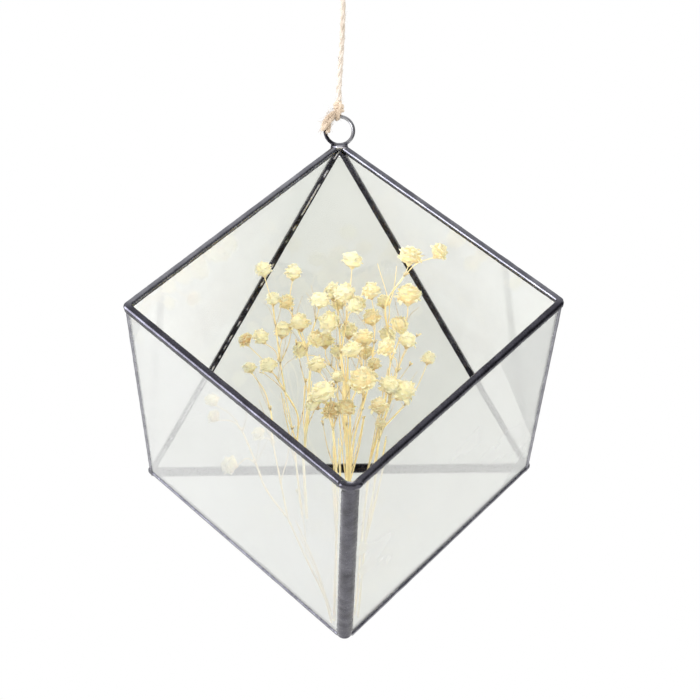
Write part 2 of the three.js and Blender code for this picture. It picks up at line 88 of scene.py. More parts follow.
# %% Camera
PICTURE = 700                     # pixels on each side
FOCAL = 1589                      # focal length in those pixels
CAMERA_DISTANCE = 669.8 * MM
CAMERA_ABOVE_FOOT = 106.67 * MM
CAMERA_TURN = math.radians(1.62)  # the glass hangs turned by this much
CAMERA_ROLL = math.radians(0.6)   # and the picture was taken tilted by this much
AXIS_LEFT = 8.13                  # pixels that the hanging axis lies left of the centre
HORIZON_LOW = 35.94               # pixels that eye level lies below the centre

camera_data = bpy.data.cameras.new("camera")
camera_data.sensor_width = 36     # a full-frame sensor, in millimetres
camera_data.lens = camera_data.sensor_width * FOCAL / PICTURE
camera_data.shift_x = AXIS_LEFT / PICTURE
camera_data.shift_y = HORIZON_LOW / PICTURE
camera = bpy.data.objects.new("camera", camera_data)
camera.location = (
    -CAMERA_DISTANCE * math.sin(CAMERA_TURN),
    -CAMERA_DISTANCE * math.cos(CAMERA_TURN),
    FOOT_Z + CAMERA_ABOVE_FOOT,
)
camera.rotation_euler = (math.pi / 2, CAMERA_ROLL, -CAMERA_TURN)
bpy.context.scene.collection.objects.link(camera)
bpy.context.scene.camera = camera
print("lens: %.1f mm" % camera_data.lens)

# %% [markdown]
# ## Helpers for finishes
# Colours are picked as a painter sees them, as sRGB hex, but shaders add light, so one function
# turns every colour to linear. Another adds a shader node with its settings and links, and a
# third starts a material. Values that are the same all over go on the shader's own sockets.

# %% Colour, node and material helpers


def colour(hex_code):
    """The linear colour of an sRGB hex code such as #F4E7BC."""
    shares = [int(hex_code[i:i + 2], 16) / 255 for i in (1, 3, 5)]
    linear = [s / 12.92 if s <= 0.04045 else ((s + 0.055) / 1.055) ** 2.4 for s in shares]
    return (*linear, 1.0)


def add_node(tree, kind, settings=None, inputs=None, to=None):
    """A node whose inputs are values, or the nodes and sockets that feed them.

    The setting `stops` is a ramp's list of (place, hex code), and `to` is a socket that it feeds.
    """
    node = tree.nodes.new(kind)
    for name, value in (settings or {}).items():
        if name == "stops":
            elements = node.color_ramp.elements
            while len(elements) < len(value):
                elements.new(0.5)
            for element, (position, hex_code) in zip(elements, value):
                element.position = position
                element.color = colour(hex_code)
        else:
            setattr(node, name, value)
    for name, value in (inputs or {}).items():
        if isinstance(value, bpy.types.Node):
            value = value.outputs[0]
        if isinstance(value, bpy.types.NodeSocket):
            tree.links.new(value, node.inputs[name])
        else:
            node.inputs[name].default_value = value
    if to is not None:
        tree.links.new(node.outputs[0], to)
    return node


def new_finish(name, values):
    """A new material with these values, its tree, its shader's sockets and a place in metres."""
    finish = bpy.data.materials.new(name)
    finish.use_nodes = True
    tree = finish.node_tree
    sockets = tree.nodes["Principled BSDF"].inputs
    for socket, value in values.items():
        sockets[socket].default_value = value
    print("finish:", name)
    return finish, tree, sockets, add_node(tree, "ShaderNodeTexCoord").outputs["Object"]


def per(size_mm):
    """The scale of a noise whose lumps are about this many millimetres across."""
    return 1 / (size_mm * MM)


print("cream in linear light:", [round(share, 3) for share in colour("#F4E7BC")])

# %% What most of the finishes share
NOISE_RANGE = {"From Min": 0.3, "From Max": 0.7}    # a noise stays between about these


def relief(tree, sockets, place, size_mm, detail, strength, height_mm, distortion=0.0):
    """A noise of a real size, raised from the surface as a bump of a real height."""
    grain = add_node(tree, "ShaderNodeTexNoise", inputs={
        "Vector": place, "Scale": per(size_mm), "Detail": detail, "Distortion": distortion})
    add_node(tree, "ShaderNodeBump", inputs={
        "Height": grain, "Strength": strength, "Distance": height_mm * MM}, to=sockets["Normal"])
    return grain


def carried_colour(tree, sockets, attribute, pattern, wander, stops):
    """Colours along a value that the mesh carries, moved up and down a little by a pattern."""
    carried = add_node(tree, "ShaderNodeAttribute", {"attribute_name": attribute})
    moved = add_node(tree, "ShaderNodeMapRange", inputs={
        "Value": pattern, **NOISE_RANGE, "To Min": -wander, "To Max": wander})
    value = add_node(tree, "ShaderNodeMath", {"operation": "ADD", "use_clamp": True}, {
        0: carried.outputs["Fac"], 1: moved})
    add_node(tree, "ShaderNodeValToRGB", {"stops": stops}, {"Fac": value}, to=sockets["Base Color"])


print("a noise of 5 mm has the scale", per(5))

# %% [markdown]
# ## Sheet glass
# The panes are soda-lime sheet glass, drawn and fire-polished, so they are smooth with a very long
# ripple. Real panes of this kind also carry a thin milky bloom of dust and flux that lifts what is
# dark behind them. The bloom could be a second layer, but a small diffuse share in the same glass
# shader does it with nothing extra to export. The front panes are handled most and have the most.

# %% Finish: drawn sheet glass


def drawn_sheet_glass(name, clear, milky, tint, bloom_tint):
    """Glass that lets through between `milky` and `clear` of the light at each face."""
    finish, tree, sockets, place = new_finish(name, {"Roughness": 0.0, "IOR": 1.52})
    # faint clouds of dust about 30 mm across, between clear and milky
    bloom = add_node(tree, "ShaderNodeTexNoise", inputs={
        "Vector": place, "Scale": per(30), "Detail": 3})
    add_node(tree, "ShaderNodeMapRange", inputs={
        "Value": bloom, **NOISE_RANGE, "To Min": clear, "To Max": milky},
        to=sockets["Transmission Weight"])
    add_node(tree, "ShaderNodeValToRGB", {"stops": [(0.3, tint), (0.7, bloom_tint)]}, {
        "Fac": bloom}, to=sockets["Base Color"])
    # the drawing of the sheet leaves a ripple some 25 mm long, a few micrometres high
    relief(tree, sockets, place, 25, 1, 0.05, 0.05)
    return finish


# The grey tints differ from pane to pane as painted shade: darkest on the front left, lighter on
# the front right, pale grey on the back, nearly clear on the sides and the bottom.
clean_glass = drawn_sheet_glass("drawn_sheet_glass", 0.95, 0.90, "#FBFCFA", "#F8F8F6")
panes_glazed = {
    "pane_left": clean_glass,
    "pane_right": clean_glass,
    "pane_bottom": clean_glass,
    "pane_back": drawn_sheet_glass(
        "drawn_sheet_glass_painted_shade_back", 0.92, 0.86, "#F4F5F1", "#EFF0EC"),
    "pane_front_left": drawn_sheet_glass(
        "drawn_sheet_glass_painted_shade_front_left", 0.80, 0.72, "#D4D5D3", "#D0D1CF"),
    "pane_front_right": drawn_sheet_glass(
        "drawn_sheet_glass_painted_shade_front_right", 0.80, 0.72, "#E2E3E1", "#DEDFDD"),
}
for name, glass in panes_glazed.items():
    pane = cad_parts[name]
    pane.data.materials.clear()
    pane.data.materials.append(glass)
print("glazed:", len(panes_glazed), "panes")

# %% [markdown]
# ## Black patina on solder
# The seams are tin solder run by hand over copper foil, then wiped with an acid patina that turns
# the bright metal charcoal. It never takes evenly: the lower rims are nearly black, the upper ones
# grey, and the side seams stay silvery. Each point of the mesh carries a `patina`, from 0 for bare
# solder to 1 for black, and the colour follows it. The eye sees a satin metal with soft clouds.

# %% Finish: black patina on solder
patina, tree, sockets, place = new_finish("black_patina_on_solder", {"Metallic": 1.0})
# the wiping cloth leaves clouds 6 mm across, darker and lighter
clouds = add_node(tree, "ShaderNodeTexNoise", inputs={
    "Vector": place, "Scale": per(6), "Detail": 3})
carried_colour(tree, sockets, "patina", clouds, 0.10, [
    (0.0, "#DCD9DE"), (0.25, "#99999F"), (0.5, "#6C6C73"),
    (0.75, "#504F57"), (0.9, "#3A393F"), (1.0, "#222126"),
])
# flux pits are 0.2 mm across, too fine to show, so they are drawn 0.9 mm across
pits = relief(tree, sockets, place, 0.9, 2, 0.2, 0.1)
add_node(tree, "ShaderNodeMapRange", inputs={
    "Value": pits, **NOISE_RANGE, "To Min": 0.2, "To Max": 0.34}, to=sockets["Roughness"])

# %% [markdown]
# ## Tinned steel wire
# The ring is drawn steel wire with a thin tin coat, bent round a bar. It is lighter and smoother
# than the seams, with fine lines along the wire and a little grey where fingers have dulled it.

# %% Finish: tinned steel wire
ring_steel, tree, sockets, place = new_finish("tinned_steel_wire", {
    "Metallic": 1.0, "Roughness": 0.3})
# dull and bright patches of the tin, 2 mm across
dulled = add_node(tree, "ShaderNodeTexNoise", inputs={
    "Vector": place, "Scale": per(2), "Detail": 4})
add_node(tree, "ShaderNodeValToRGB", {"stops": [(0.3, "#8C8C8E"), (0.7, "#B0B0B2")]}, {
    "Fac": dulled}, to=sockets["Base Color"])
# die lines are hundredths of a millimetre apart, too fine to show, so they are drawn at 0.4 mm
relief(tree, sockets, place, 0.4, 2, 0.08, 0.05)

# %% [markdown]
# ## Natural jute
# The twine is spun from pale natural jute: matte, with darker fibres here and there and a halo of
# loose hairs. Matte fibre scatters light back, which a little sheen stands for. The standing
# length gets paler, greyer colours as painted light, for the light that shines through its thin
# outline.

# %% Finish: spun jute


def spun_jute(name, stops):
    """Jute whose colours run from the shade between fibres to their lit backs."""
    finish, tree, sockets, place = new_finish(name, {
        "Roughness": 0.9, "Sheen Weight": 0.15, "Sheen Roughness": 0.5})
    # single fibres are too fine to show, so bundles 0.6 mm thick and four times as long are drawn
    drawn_out = add_node(tree, "ShaderNodeVectorMath", {"operation": "MULTIPLY"}, {
        0: place, 1: (1, 1, 0.25)})
    fibres = relief(tree, sockets, drawn_out, 0.6, 2, 0.2, 0.1, 0.3)
    # blotches 4 mm across, mixed half and half with the fibres
    blotches = add_node(tree, "ShaderNodeTexNoise", inputs={
        "Vector": place, "Scale": per(4), "Detail": 2})
    mixed = 0.0
    for pattern in (blotches, fibres):
        mixed = add_node(tree, "ShaderNodeMath", {"operation": "MULTIPLY_ADD"}, {
            0: pattern, 1: 0.5, 2: mixed})
    add_node(tree, "ShaderNodeValToRGB", {"stops": stops}, {"Fac": mixed}, to=sockets["Base Color"])
    return finish


jute = spun_jute("spun_jute", [
    (0.34, "#A8957F"), (0.44, "#B8A48E"), (0.54, "#C2B09B"), (0.68, "#CDBEAB")])
# painted light: paler colours for the standing length, for the light that shines through it
backlit_jute = spun_jute("spun_jute_painted_backlight", [
    (0.34, "#ADA090"), (0.44, "#BAAEA0"), (0.54, "#C3B8AC"), (0.68, "#CCC3B9")])

# %% [markdown]
# ## Dried petals, calyx and straw
# Petals dry to cream paper that light passes through, and stems to straw. Each point of the mesh
# carries an `age`, 0 at a fresh pale petal tip and 1 at a brown heart, and the colour follows it.
# The grain is the fine crumple of the dry skin, 0.5 to 0.9 mm from ridge to ridge.

# %% Finish: dried plant


def dried_plant(name, stops, glow, grain_mm, bump_strength):
    """Dry plant tissue: colours along the age, how much light it lets through, and its grain."""
    finish, tree, sockets, place = new_finish(name, {
        "Roughness": 0.8, "Subsurface Weight": glow,
        "Subsurface Radius": (1.0, 0.75, 0.4), "Subsurface Scale": 1.0 * MM})
    grain = relief(tree, sockets, place, grain_mm, 3, bump_strength, 0.1)
    carried_colour(tree, sockets, "age", grain, 0.15, stops)
    return finish


petal_paper = dried_plant("dried_petal_paper", [
    (0.0, "#FBEFC4"), (0.35, "#F6E7B4"), (0.7, "#EACE96"), (1.0, "#CC985E")], 0.6, 0.7, 0.4)
calyx_husk = dried_plant("dried_calyx_husk", [
    (0.0, "#F4E6BA"), (0.5, "#E2CE9C"), (1.0, "#B8996A")], 0.3, 0.5, 0.3)
straw_stem = dried_plant("dried_straw_stem", [
    (0.0, "#FEEEBC"), (0.35, "#F7E1A8"), (0.7, "#E4D2A6"), (1.0, "#A8926F")], 0.3, 0.9, 0.2)

# %% [markdown]
# ## Helpers for shapes
# Most of the object is drawn along lines: seams along edges, twine and stems along curves. So one
# helper makes a smooth curve through a few points, one sweeps a section along it, and a small
# class gathers points and faces until they become one Blender object.

# %% A smooth curve through a few points
FINE_STEPS = 10                   # first steps from point to point, before they are spaced evenly


def curve_through(points, spacing):
    """Evenly spaced places on a smooth curve through the points."""
    ends = [points[0] * 2 - points[1], *points, points[-1] * 2 - points[-2]]
    fine = []
    for a, b, c, d in zip(ends, ends[1:], ends[2:], ends[3:]):
        knots = [0.0]
        for start, end in ((a, b), (b, c), (c, d)):
            knots.append(knots[-1] + math.sqrt(max((end - start).length, 1e-7)))
        k0, k1, k2, k3 = knots
        for step in range(FINE_STEPS):
            t = k1 + (k2 - k1) * step / FINE_STEPS
            ab = a.lerp(b, (t - k0) / (k1 - k0))
            bc = b.lerp(c, (t - k1) / (k2 - k1))
            cd = c.lerp(d, (t - k2) / (k3 - k2))
            abc = ab.lerp(bc, (t - k0) / (k2 - k0))
            bcd = bc.lerp(cd, (t - k1) / (k3 - k1))
            fine.append(abc.lerp(bcd, (t - k1) / (k2 - k1)))
    fine.append(points[-1].copy())
    lengths = [0.0]
    for a, b in zip(fine, fine[1:]):
        lengths.append(lengths[-1] + (b - a).length)
    count = max(2, round(lengths[-1] / spacing) + 1)
    places, i = [], 0
    for n in range(count):
        wanted = lengths[-1] * n / (count - 1)
        while i < len(fine) - 2 and lengths[i + 1] < wanted:
            i += 1
        share = (wanted - lengths[i]) / max(lengths[i + 1] - lengths[i], 1e-9)
        places.append(fine[i].lerp(fine[i + 1], min(share, 1.0)))
    return places


print("places on a 10 mm curve:", len(curve_through([Vector(), UP * 10 * MM], 1 * MM)))

# %% A closed tube along a path


def frames_along(path):
    """At each place of a path, two directions across it that don't twist."""
    across = None
    frames = []
    for i, place in enumerate(path):
        along = (path[min(i + 1, len(path) - 1)] - path[max(i - 1, 0)]).normalized()
        if across is None:
            across = along.orthogonal().normalized()
        across = (across - along * across.dot(along)).normalized()
        frames.append((place, across, along.cross(across)))
    return frames


def tube(path, radii, sides):
    """Points and faces of a closed round tube along a path."""
    points, faces = [], []
    for (place, x, y), radius in zip(frames_along(path), radii):
        for i in range(sides):
            angle = 2 * math.pi * i / sides
            points.append(place + (x * math.cos(angle) + y * math.sin(angle)) * radius)
    for ring in range(len(path) - 1):
        for i in range(sides):
            a, b = ring * sides + i, ring * sides + (i + 1) % sides
            faces.append((a, b, b + sides, a + sides))
    faces.append(tuple(reversed(range(sides))))
    faces.append(tuple(range((len(path) - 1) * sides, len(path) * sides)))
    return points, faces


print("points of a 10 mm tube:", len(tube([Vector(), UP * 10 * MM], [MM, MM], 8)[0]))

# %% A gatherer of faces


class Shape:
    """Gathers points and faces, with a finish for each face and an age for each point."""

    def __init__(self):
        self.points, self.faces, self.finishes, self.ages = [], [], [], []

    def add(self, points, faces, finish=0, age=0.0):
        first = len(self.points)
        self.points.extend(points)
        self.faces.extend([[first + i for i in face] for face in faces])
        self.finishes.extend([finish] * len(faces))
        self.ages.extend(age if isinstance(age, list) else [age] * len(points))

    def piece(self, name, finishes):
        """The gathered faces as one smooth-shaded object."""
        mesh = bpy.data.meshes.new(name)
        mesh.from_pydata(self.points, [], self.faces)
        mesh.attributes.new("age", "FLOAT", "POINT").data.foreach_set("value", self.ages)
        mesh.polygons.foreach_set("material_index", self.finishes)
        for finish in finishes:
            mesh.materials.append(finish)
        work = bmesh.new()
        work.from_mesh(mesh)
        bmesh.ops.recalc_face_normals(work, faces=work.faces)
        work.to_mesh(mesh)
        work.free()
        mesh.shade_smooth()
        made = bpy.data.objects.new(name, mesh)
        bpy.context.scene.collection.objects.link(made)
        return made


# %% Melting a piece, and handing it over to the frame


def fuse(rough, voxel, rounds):
    """Melts overlapping solids into one skin, then smooths it a few rounds."""
    remesh = rough.modifiers.new("melt", "REMESH")
    remesh.mode = "VOXEL"
    remesh.voxel_size = voxel
    smooth = rough.modifiers.new("smooth", "SMOOTH")
    smooth.iterations = rounds
    smooth.factor = 0.5
    view = rough.evaluated_get(bpy.context.evaluated_depsgraph_get())
    melted = bpy.data.meshes.new_from_object(view)
    rough.modifiers.clear()
    rough.data = melted
    melted.shade_smooth()
    return rough


def on_frame(piece, slot, *nodes):
    """A piece rides on the body and stands for its nodes, which it hides. `slot` is not used."""
    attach(piece, "root")
    if nodes:
        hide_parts(*nodes)
    print(piece.name, "faces:", len(piece.data.polygons))


# %% [markdown]
# ## Twine
# Jute twine is two or three yarns laid round each other. A texture on a tube would have a smooth
# outline, so the yarns are real: three helices in touch, one full turn about every six diameters,
# as in slack garden twine. Loose hairs stand off it. The length outside the picture ends in the
# knotted loop that the whole thing hangs by.

# %% Laying yarns round a path
TWINE_RADIUS = 1.15 * MM
YARNS = 3
YARN_RADIUS = 0.61 * TWINE_RADIUS
YARN_ORBIT = 0.4 * TWINE_RADIUS
YARN_STEP = 0.4 * MM              # length of twine from ring to ring of the mesh
LAY = 14.0 * MM                   # length of one full turn
FRAY_UNTWIST = 1.5                # radians that opened yarns have turned back
FRAY_SPREAD = 2.2                 # how much further apart they stand
FRAY_PUFF = 0.55                  # how much they puff up before they thin out again
FRAY_THIN, FRAY_THIN_FROM = 0.9, 0.75


def lay_twine(shape, route, fray=0.0):
    """Three yarns round a route. `fray` is the share of its length, at the end, that opens."""
    path = curve_through(route, YARN_STEP)
    steps = frames_along(path)
    for yarn in range(YARNS):
        line, radii = [], []
        for i, (place, x, y) in enumerate(steps):
            share = i / (len(steps) - 1)
            opened = max(0.0, (share - 1 + fray) / fray) if fray else 0.0
            angle = 2 * math.pi * (yarn / YARNS + i * YARN_STEP / LAY) - opened * FRAY_UNTWIST
            orbit = YARN_ORBIT * (1 + FRAY_SPREAD * opened)
            line.append(place + (x * math.cos(angle) + y * math.sin(angle)) * orbit)
            puff = 1 + FRAY_PUFF * opened - FRAY_THIN * max(0.0, opened - FRAY_THIN_FROM)
            radii.append(YARN_RADIUS * puff)
        shape.add(*tube(line, radii, 8))
    return path


print("twine: %.1f mm thick" % (2 * TWINE_RADIUS / MM))

# %% Loose hairs
HAIR_RADIUS = 0.035 * MM
STANDING_HAIRS, KNOT_HAIRS, TAIL_HAIRS, LOOP_HAIRS = 60, 50, 200, 160


def add_hairs(shape, path, count, rng, longest=2.6 * MM, reach=TWINE_RADIUS):
    """Loose fibres that leave the twine at a shallow angle and curl."""
    steps = frames_along(path)
    for _ in range(count):
        i = rng.randrange(len(steps) - 1)
        place, x, y = steps[i]
        along = (path[i + 1] - path[i]).normalized() * rng.choice((-1, 1))
        angle = rng.uniform(0, 2 * math.pi)
        out = x * math.cos(angle) + y * math.sin(angle)
        side = out.cross(along)
        length = rng.uniform(0.35, 1.0) * longest
        start = place + out * reach * 0.8
        bend = start + along * length * 0.45 + out * length * rng.uniform(0.1, 0.3)
        end = bend + along * length * rng.uniform(0.1, 0.4) + out * length * rng.uniform(0.0, 0.35)
        end += side * length * rng.uniform(-0.35, 0.35)
        hair = curve_through([start, bend, end], length / 4)
        shape.add(*tube(hair, [HAIR_RADIUS] * len(hair), 3))


# %% The standing length of twine


def mm(x, y, z):
    return Vector((x, y, z)) * MM


def piece_of_twine(name, shape, finish, *nodes):
    made = shape.piece(name, [finish])
    on_frame(made, "jute_twine", *nodes)
    return made


twine_random = random.Random(5)
RING_CENTRE = mm(0.05, 0, APEX_Z / MM + 6.4)
RING_RADIUS = 5.95 * MM
ring_knot = mm(0.1, 0, APEX_Z / MM + 16.5)
top_knot = mm(2.2, 0, APEX_Z / MM + 67.3)

standing_route = [
    ring_knot + mm(0, 0, 2.35),
    ring_knot + mm(0, 0, 8),
    ring_knot + mm(0.6, 0.1, 16),
    ring_knot + mm(1.3, 0.2, 25),
    ring_knot + mm(1.8, 0.1, 34),
    top_knot - mm(0, 0, 8),
    top_knot - mm(0, 0, 2.35),
]
standing_shape = Shape()
standing_path = lay_twine(standing_shape, standing_route)
add_hairs(standing_shape, standing_path, STANDING_HAIRS, twine_random)
standing_twine = piece_of_twine(
    "twine_standing_yarns", standing_shape, backlit_jute, "twine_standing")

# %% [markdown]
# The lower knot is a turn round the ring's wire, nearly three turns wound tightly round the
# standing part just above it, and a loose end that has come untwisted. It is one route, drawn in
# the order in which a hand would tie it.

# %% The knot on the ring
WINDINGS = 2.6
WINDING_STEPS = 20
WINDING_START = math.radians(-60)
WINDING_RADIUS = 1.3
KNOT_FROM, KNOT_RISE = 1.4, 4.2   # height of the lowest winding above the ring, and of them all
TAIL_FROM = 0.82                  # share of the route at which the loose end begins
ring_top = RING_CENTRE + Vector((0, 0, RING_RADIUS))
knot_route = [
    ring_knot + mm(0.0, 0.0, 2.4),
    ring_knot + mm(0.1, 0.3, -1.0),
    ring_top + mm(-0.6, 1.6, 0.8),
    ring_top + mm(-0.8, 1.3, -0.4),
    ring_top + mm(-0.8, 0.0, -0.8),
    ring_top + mm(-0.8, -1.4, -0.3),
    ring_top + mm(-0.6, -1.6, 0.9),
    ring_top + mm(0.5, -1.3, 4.2),
]
for step in range(1, WINDING_STEPS + 1):
    turn = WINDING_START - 2 * math.pi * WINDINGS * step / WINDING_STEPS
    knot_route.append(ring_top + mm(
        WINDING_RADIUS * math.cos(turn) - 0.1,
        WINDING_RADIUS * math.sin(turn),
        KNOT_FROM + KNOT_RISE * (1 - step / WINDING_STEPS),
    ))
knot_route += [
    ring_top + mm(-2.6, -2.0, 1.0),
    ring_top + mm(-4.2, -2.5, -1.3),
    ring_top + mm(-5.4, -2.7, -3.8),
    ring_top + mm(-6.3, -2.7, -6.4),
]
knot_shape = Shape()
knot_path = lay_twine(knot_shape, knot_route, fray=0.2)
add_hairs(knot_shape, knot_path, KNOT_HAIRS, twine_random)
tail = knot_path[int(len(knot_path) * TAIL_FROM):]
add_hairs(knot_shape, tail, TAIL_HAIRS, twine_random, longest=4.4 * MM, reach=1.9 * MM)
ring_knot_twine = piece_of_twine("twine_ring_knot_yarns", knot_shape, jute, "twine_ring_knot")

# %% The knotted loop at the top
LOOP_HALF = 4.5                   # half the width of the loop, in millimetres
loop_route = [
    top_knot + mm(0, 0, -2.4),
    top_knot + mm(-0.9, 0.9, -0.4),
    mm(-LOOP_HALF * 0.7, 0, -14.7),
    mm(-LOOP_HALF, 0, -6.7),
    mm(-LOOP_HALF * 0.72, 0, -1.6),
    mm(0, 0, 1.15),
    mm(LOOP_HALF * 0.72, 0, -1.6),
    mm(LOOP_HALF, 0, -6.7),
    mm(LOOP_HALF * 0.8, 0, -14.7),
    top_knot + mm(0.9, -0.6, 1.2),
    top_knot + mm(-1.4, -1.5, 0.4),
    top_knot + mm(-1.6, 1.2, -0.6),
    top_knot + mm(1.0, 1.7, -0.8),
    top_knot + mm(1.8, -0.6, -0.4),
    top_knot + mm(3.4, -1.3, -1.4),
    top_knot + mm(5.4, -1.4, -3.9),
]
loop_shape = Shape()
loop_path = lay_twine(loop_shape, loop_route, fray=0.06)
add_hairs(loop_shape, loop_path, LOOP_HAIRS, twine_random)
top_loop_twine = piece_of_twine("twine_top_loop_yarns", loop_shape, jute, "twine_top_loop")

# %% [markdown]
# ## Solder seams
# On the real piece, copper foil wraps the edge of every pane, and solder is run along both sides
# until it stands up as a bead. Where two panes meet, the outside is one wide bead and the inside
# is two flat laps with a small fillet. At the corners the solder runs together.
# Separate bars would show their ends there, so a lump of solder goes over each corner, and all
# of it is melted into one skin with a voxel remesh, smoothed, and then made uneven as a hand
# leaves it.

# %% Sections of the seams, in millimetres
# half: half the thickness over the glass; reach: how far it laps onto the glass; back: how far it
# stands out past the glass; bead: the radius of its round back; lift: how far it leans outward
UPPER_RIM = {"half": 1.45, "reach": 1.3, "back": 1.4, "bead": 1.3}
LOWER_RIM = {"half": 1.6, "reach": 1.45, "back": 1.6, "bead": 1.45}
SLIGHT_RIM = {"half": 1.6, "reach": 2.2, "back": 1.4, "bead": 1.35}
PROUD_RIM = {"half": 1.45, "reach": 1.3, "back": 1.4, "bead": 1.3, "lift": 0.35}
SQUARE = {"half": 1.15, "reach": 1.75, "bead": 2.2}
SQUARE_RIGHT = {"half": 1.1, "reach": 2.05, "bead": 1.8}
LOWER = {"half": 1.3, "reach": 1.9, "bead": 2.0}
BROAD_LOWER = {"half": 1.6, "reach": 2.2, "bead": 2.3}
FRONT = {"half": 1.5, "reach": 3.45, "bead": 3.7}
WIDE = {"half": 1.15, "reach": 2.35, "bead": 2.6}
SLIM = {"half": 1.15, "reach": 1.8, "bead": 2.6}

# %% Where the seams run, and the panes that they join
# node, the corners it runs between, its section, and how far the patina took on it
seams = [
    ("rim_upper_left", "apex", "left", UPPER_RIM, 0.36),
    ("rim_upper_right", "apex", "right", PROUD_RIM, 0.5),
    ("rim_lower_left", "left", "front", SLIGHT_RIM, 0.8),
    ("rim_lower_right", "front", "right", LOWER_RIM, 0.8),
    ("seam_left", "left", "back_left", SQUARE, 0.34),
    ("seam_right", "right", "back_right", SQUARE_RIGHT, 0.42),
    ("seam_front", "front", "foot", FRONT, 0.78),
    ("seam_lower_left", "back_left", "foot", LOWER, 0.58),
    ("seam_lower_right", "back_right", "foot", BROAD_LOWER, 0.5),
    ("seam_back_left", "apex", "back_left", SLIM, 0.92),
    ("seam_back_right", "apex", "back_right", SLIM, 0.86),
    ("seam_back", "back_left", "back_right", WIDE, 0.97),
]
panes = [
    ("left", "front", "foot", "back_left"),
    ("front", "right", "back_right", "foot"),
    ("apex", "left", "back_left"),
    ("right", "apex", "back_right"),
    ("back_right", "apex", "back_left"),
    ("foot", "back_right", "back_left"),
]
print("seams:", len(seams), "panes:", len(panes))

# %% The outlines of a rim and of a seam
LAP_ROUND = 0.25
INNER_FILLET = 0.35


def arc(cx, cy, radius, first, last, steps):
    """Points of an arc in a section, angles in degrees."""
    angles = [math.radians(first + (last - first) * i / steps) for i in range(steps + 1)]
    return [(cx + radius * math.cos(a), cy + radius * math.sin(a)) for a in angles]


def rim_section(half, reach, back, bead, lift=0.0):
    """A rounded bar folded over the edge of one pane: x into the pane, y along its normal."""
    x, y = bead - back, half - bead
    return [
        *arc(reach - LAP_ROUND, lift + half - LAP_ROUND, LAP_ROUND, 0, 90, 2),
        *arc(x, lift + y, bead, 90, 180, 8),
        *arc(x, lift - y, bead, 180, 270, 8),
        *arc(reach - LAP_ROUND, lift + LAP_ROUND - half, LAP_ROUND, 270, 360, 2),
    ]


def seam_section(lean, half, reach, bead):
    """A wide bead outside and two laps inside: x points inward between the panes."""
    sin, cos = math.sin(lean), math.cos(lean)

    def on_pane(u, v):
        return u * cos - v * sin, u * sin + v * cos

    upper = [
        *arc((bead - half) / sin, 0, bead, 180, 90 + math.degrees(lean), 6),
        *[on_pane(*p) for p in arc(reach - LAP_ROUND, half - LAP_ROUND, LAP_ROUND, 90, 0, 2)],
        *[on_pane(*p) for p in arc(reach - LAP_ROUND, LAP_ROUND - half, LAP_ROUND, 0, -90, 2)],
        on_pane(half / math.tan(lean) + INNER_FILLET, -half),
    ]
    lower = [(x, -y) for x, y in reversed(upper[1:])]
    return upper + lower


print("points of a rim's outline:", len(rim_section(**UPPER_RIM)))

# %% Bars along the edges
# how much short of a corner the bars end, where a rounder lump of solder takes over
FOOT_TRIM = 3.4 * MM
MOUTH_TRIM = 4.2 * MM
SEAM_OVERRUN = 1.0 * MM           # and the front seam runs past its upper end by this


def inward_ways(start_name, end_name):
    """For each pane that meets an edge, the way into that pane."""
    start = corners[start_name]
    along = (corners[end_name] - start).normalized()
    ways = []
    for names in panes:
        if start_name in names and end_name in names:
            offset = sum((corners[name] for name in names), Vector()) / len(names) - start
            ways.append((offset - along * offset.dot(along)).normalized())
    return ways


def seam_bar(shape, start_name, end_name, style):
    """One bar from corner to corner, its section turned to the panes that it joins."""
    start, end = corners[start_name], corners[end_name]
    along = (end - start).normalized()
    inward = inward_ways(start_name, end_name)
    if end_name == "foot":
        end = end - along * FOOT_TRIM
    if start_name == "front":
        start = start + along * (-SEAM_OVERRUN if end_name == "foot" else MOUTH_TRIM)
    if end_name == "front":
        end = end - along * MOUTH_TRIM
    if len(inward) == 1:
        x = inward[0]
        section = rim_section(**style)
    else:
        x = (inward[0] + inward[1]).normalized()
        section = seam_section(inward[0].angle(inward[1]) / 2, **style)
    y = along.cross(x)
    count = len(section)
    points = [ring + (x * px + y * py) * MM for ring in (start, end) for px, py in section]
    faces = [(i, (i + 1) % count, (i + 1) % count + count, i + count) for i in range(count)]
    faces.append(tuple(reversed(range(count))))
    faces.append(tuple(range(count, 2 * count)))
    shape.add(points, faces)


def ball(shape, centre, half_sizes):
    """A squashed ball."""
    work = bmesh.new()
    bmesh.ops.create_uvsphere(work, u_segments=20, v_segments=12, radius=1)
    points = [centre + Vector(a * b for a, b in zip(v.co, half_sizes)) for v in work.verts]
    faces = [[v.index for v in face.verts] for face in work.faces]
    work.free()
    shape.add(points, faces)


# %% The solder, melted into one skin
SOLDER_VOXEL = 0.42 * MM
# how far the solder stands out round each corner, in millimetres, and how deep its middle lies
CORNER_SOLDER = {"left": 1.6, "right": 1.6, "back_left": 1.7, "back_right": 1.7, "apex": 1.3}
CORNER_DEPTH = 0.3 * MM
# lumps: a corner, how far from it in x, y and z, and the half sizes
LUMPS = [
    ("front", (-2.6, 0.6, 1.9), (2.0, 1.9, 1.7)),
    ("front", (0.0, 0.3, 1.5), (3.4, 1.8, 1.6)),
    ("front", (2.6, 0.6, 1.9), (2.0, 1.9, 1.7)),
    ("foot", (0.0, -0.6, 2.6), (3.1, 2.6, 2.4)),
    ("foot", (0.0, 0.8, 2.9), (2.4, 2.4, 2.2)),
]

solder_shape = Shape()
for name, start_name, end_name, style, _ in seams:
    seam_bar(solder_shape, start_name, end_name, style)
for name, radius in CORNER_SOLDER.items():
    toward = (middle - corners[name]).normalized() * CORNER_DEPTH
    ball(solder_shape, corners[name] + toward, (radius * MM,) * 3)
for name, offset, half_sizes in LUMPS:
    ball(solder_shape, corners[name] + mm(*offset), [half * MM for half in half_sizes])
solder = fuse(solder_shape.piece("solder_seams", [patina]), SOLDER_VOXEL, 3)
print("faces of the solder:", len(solder.data.polygons))

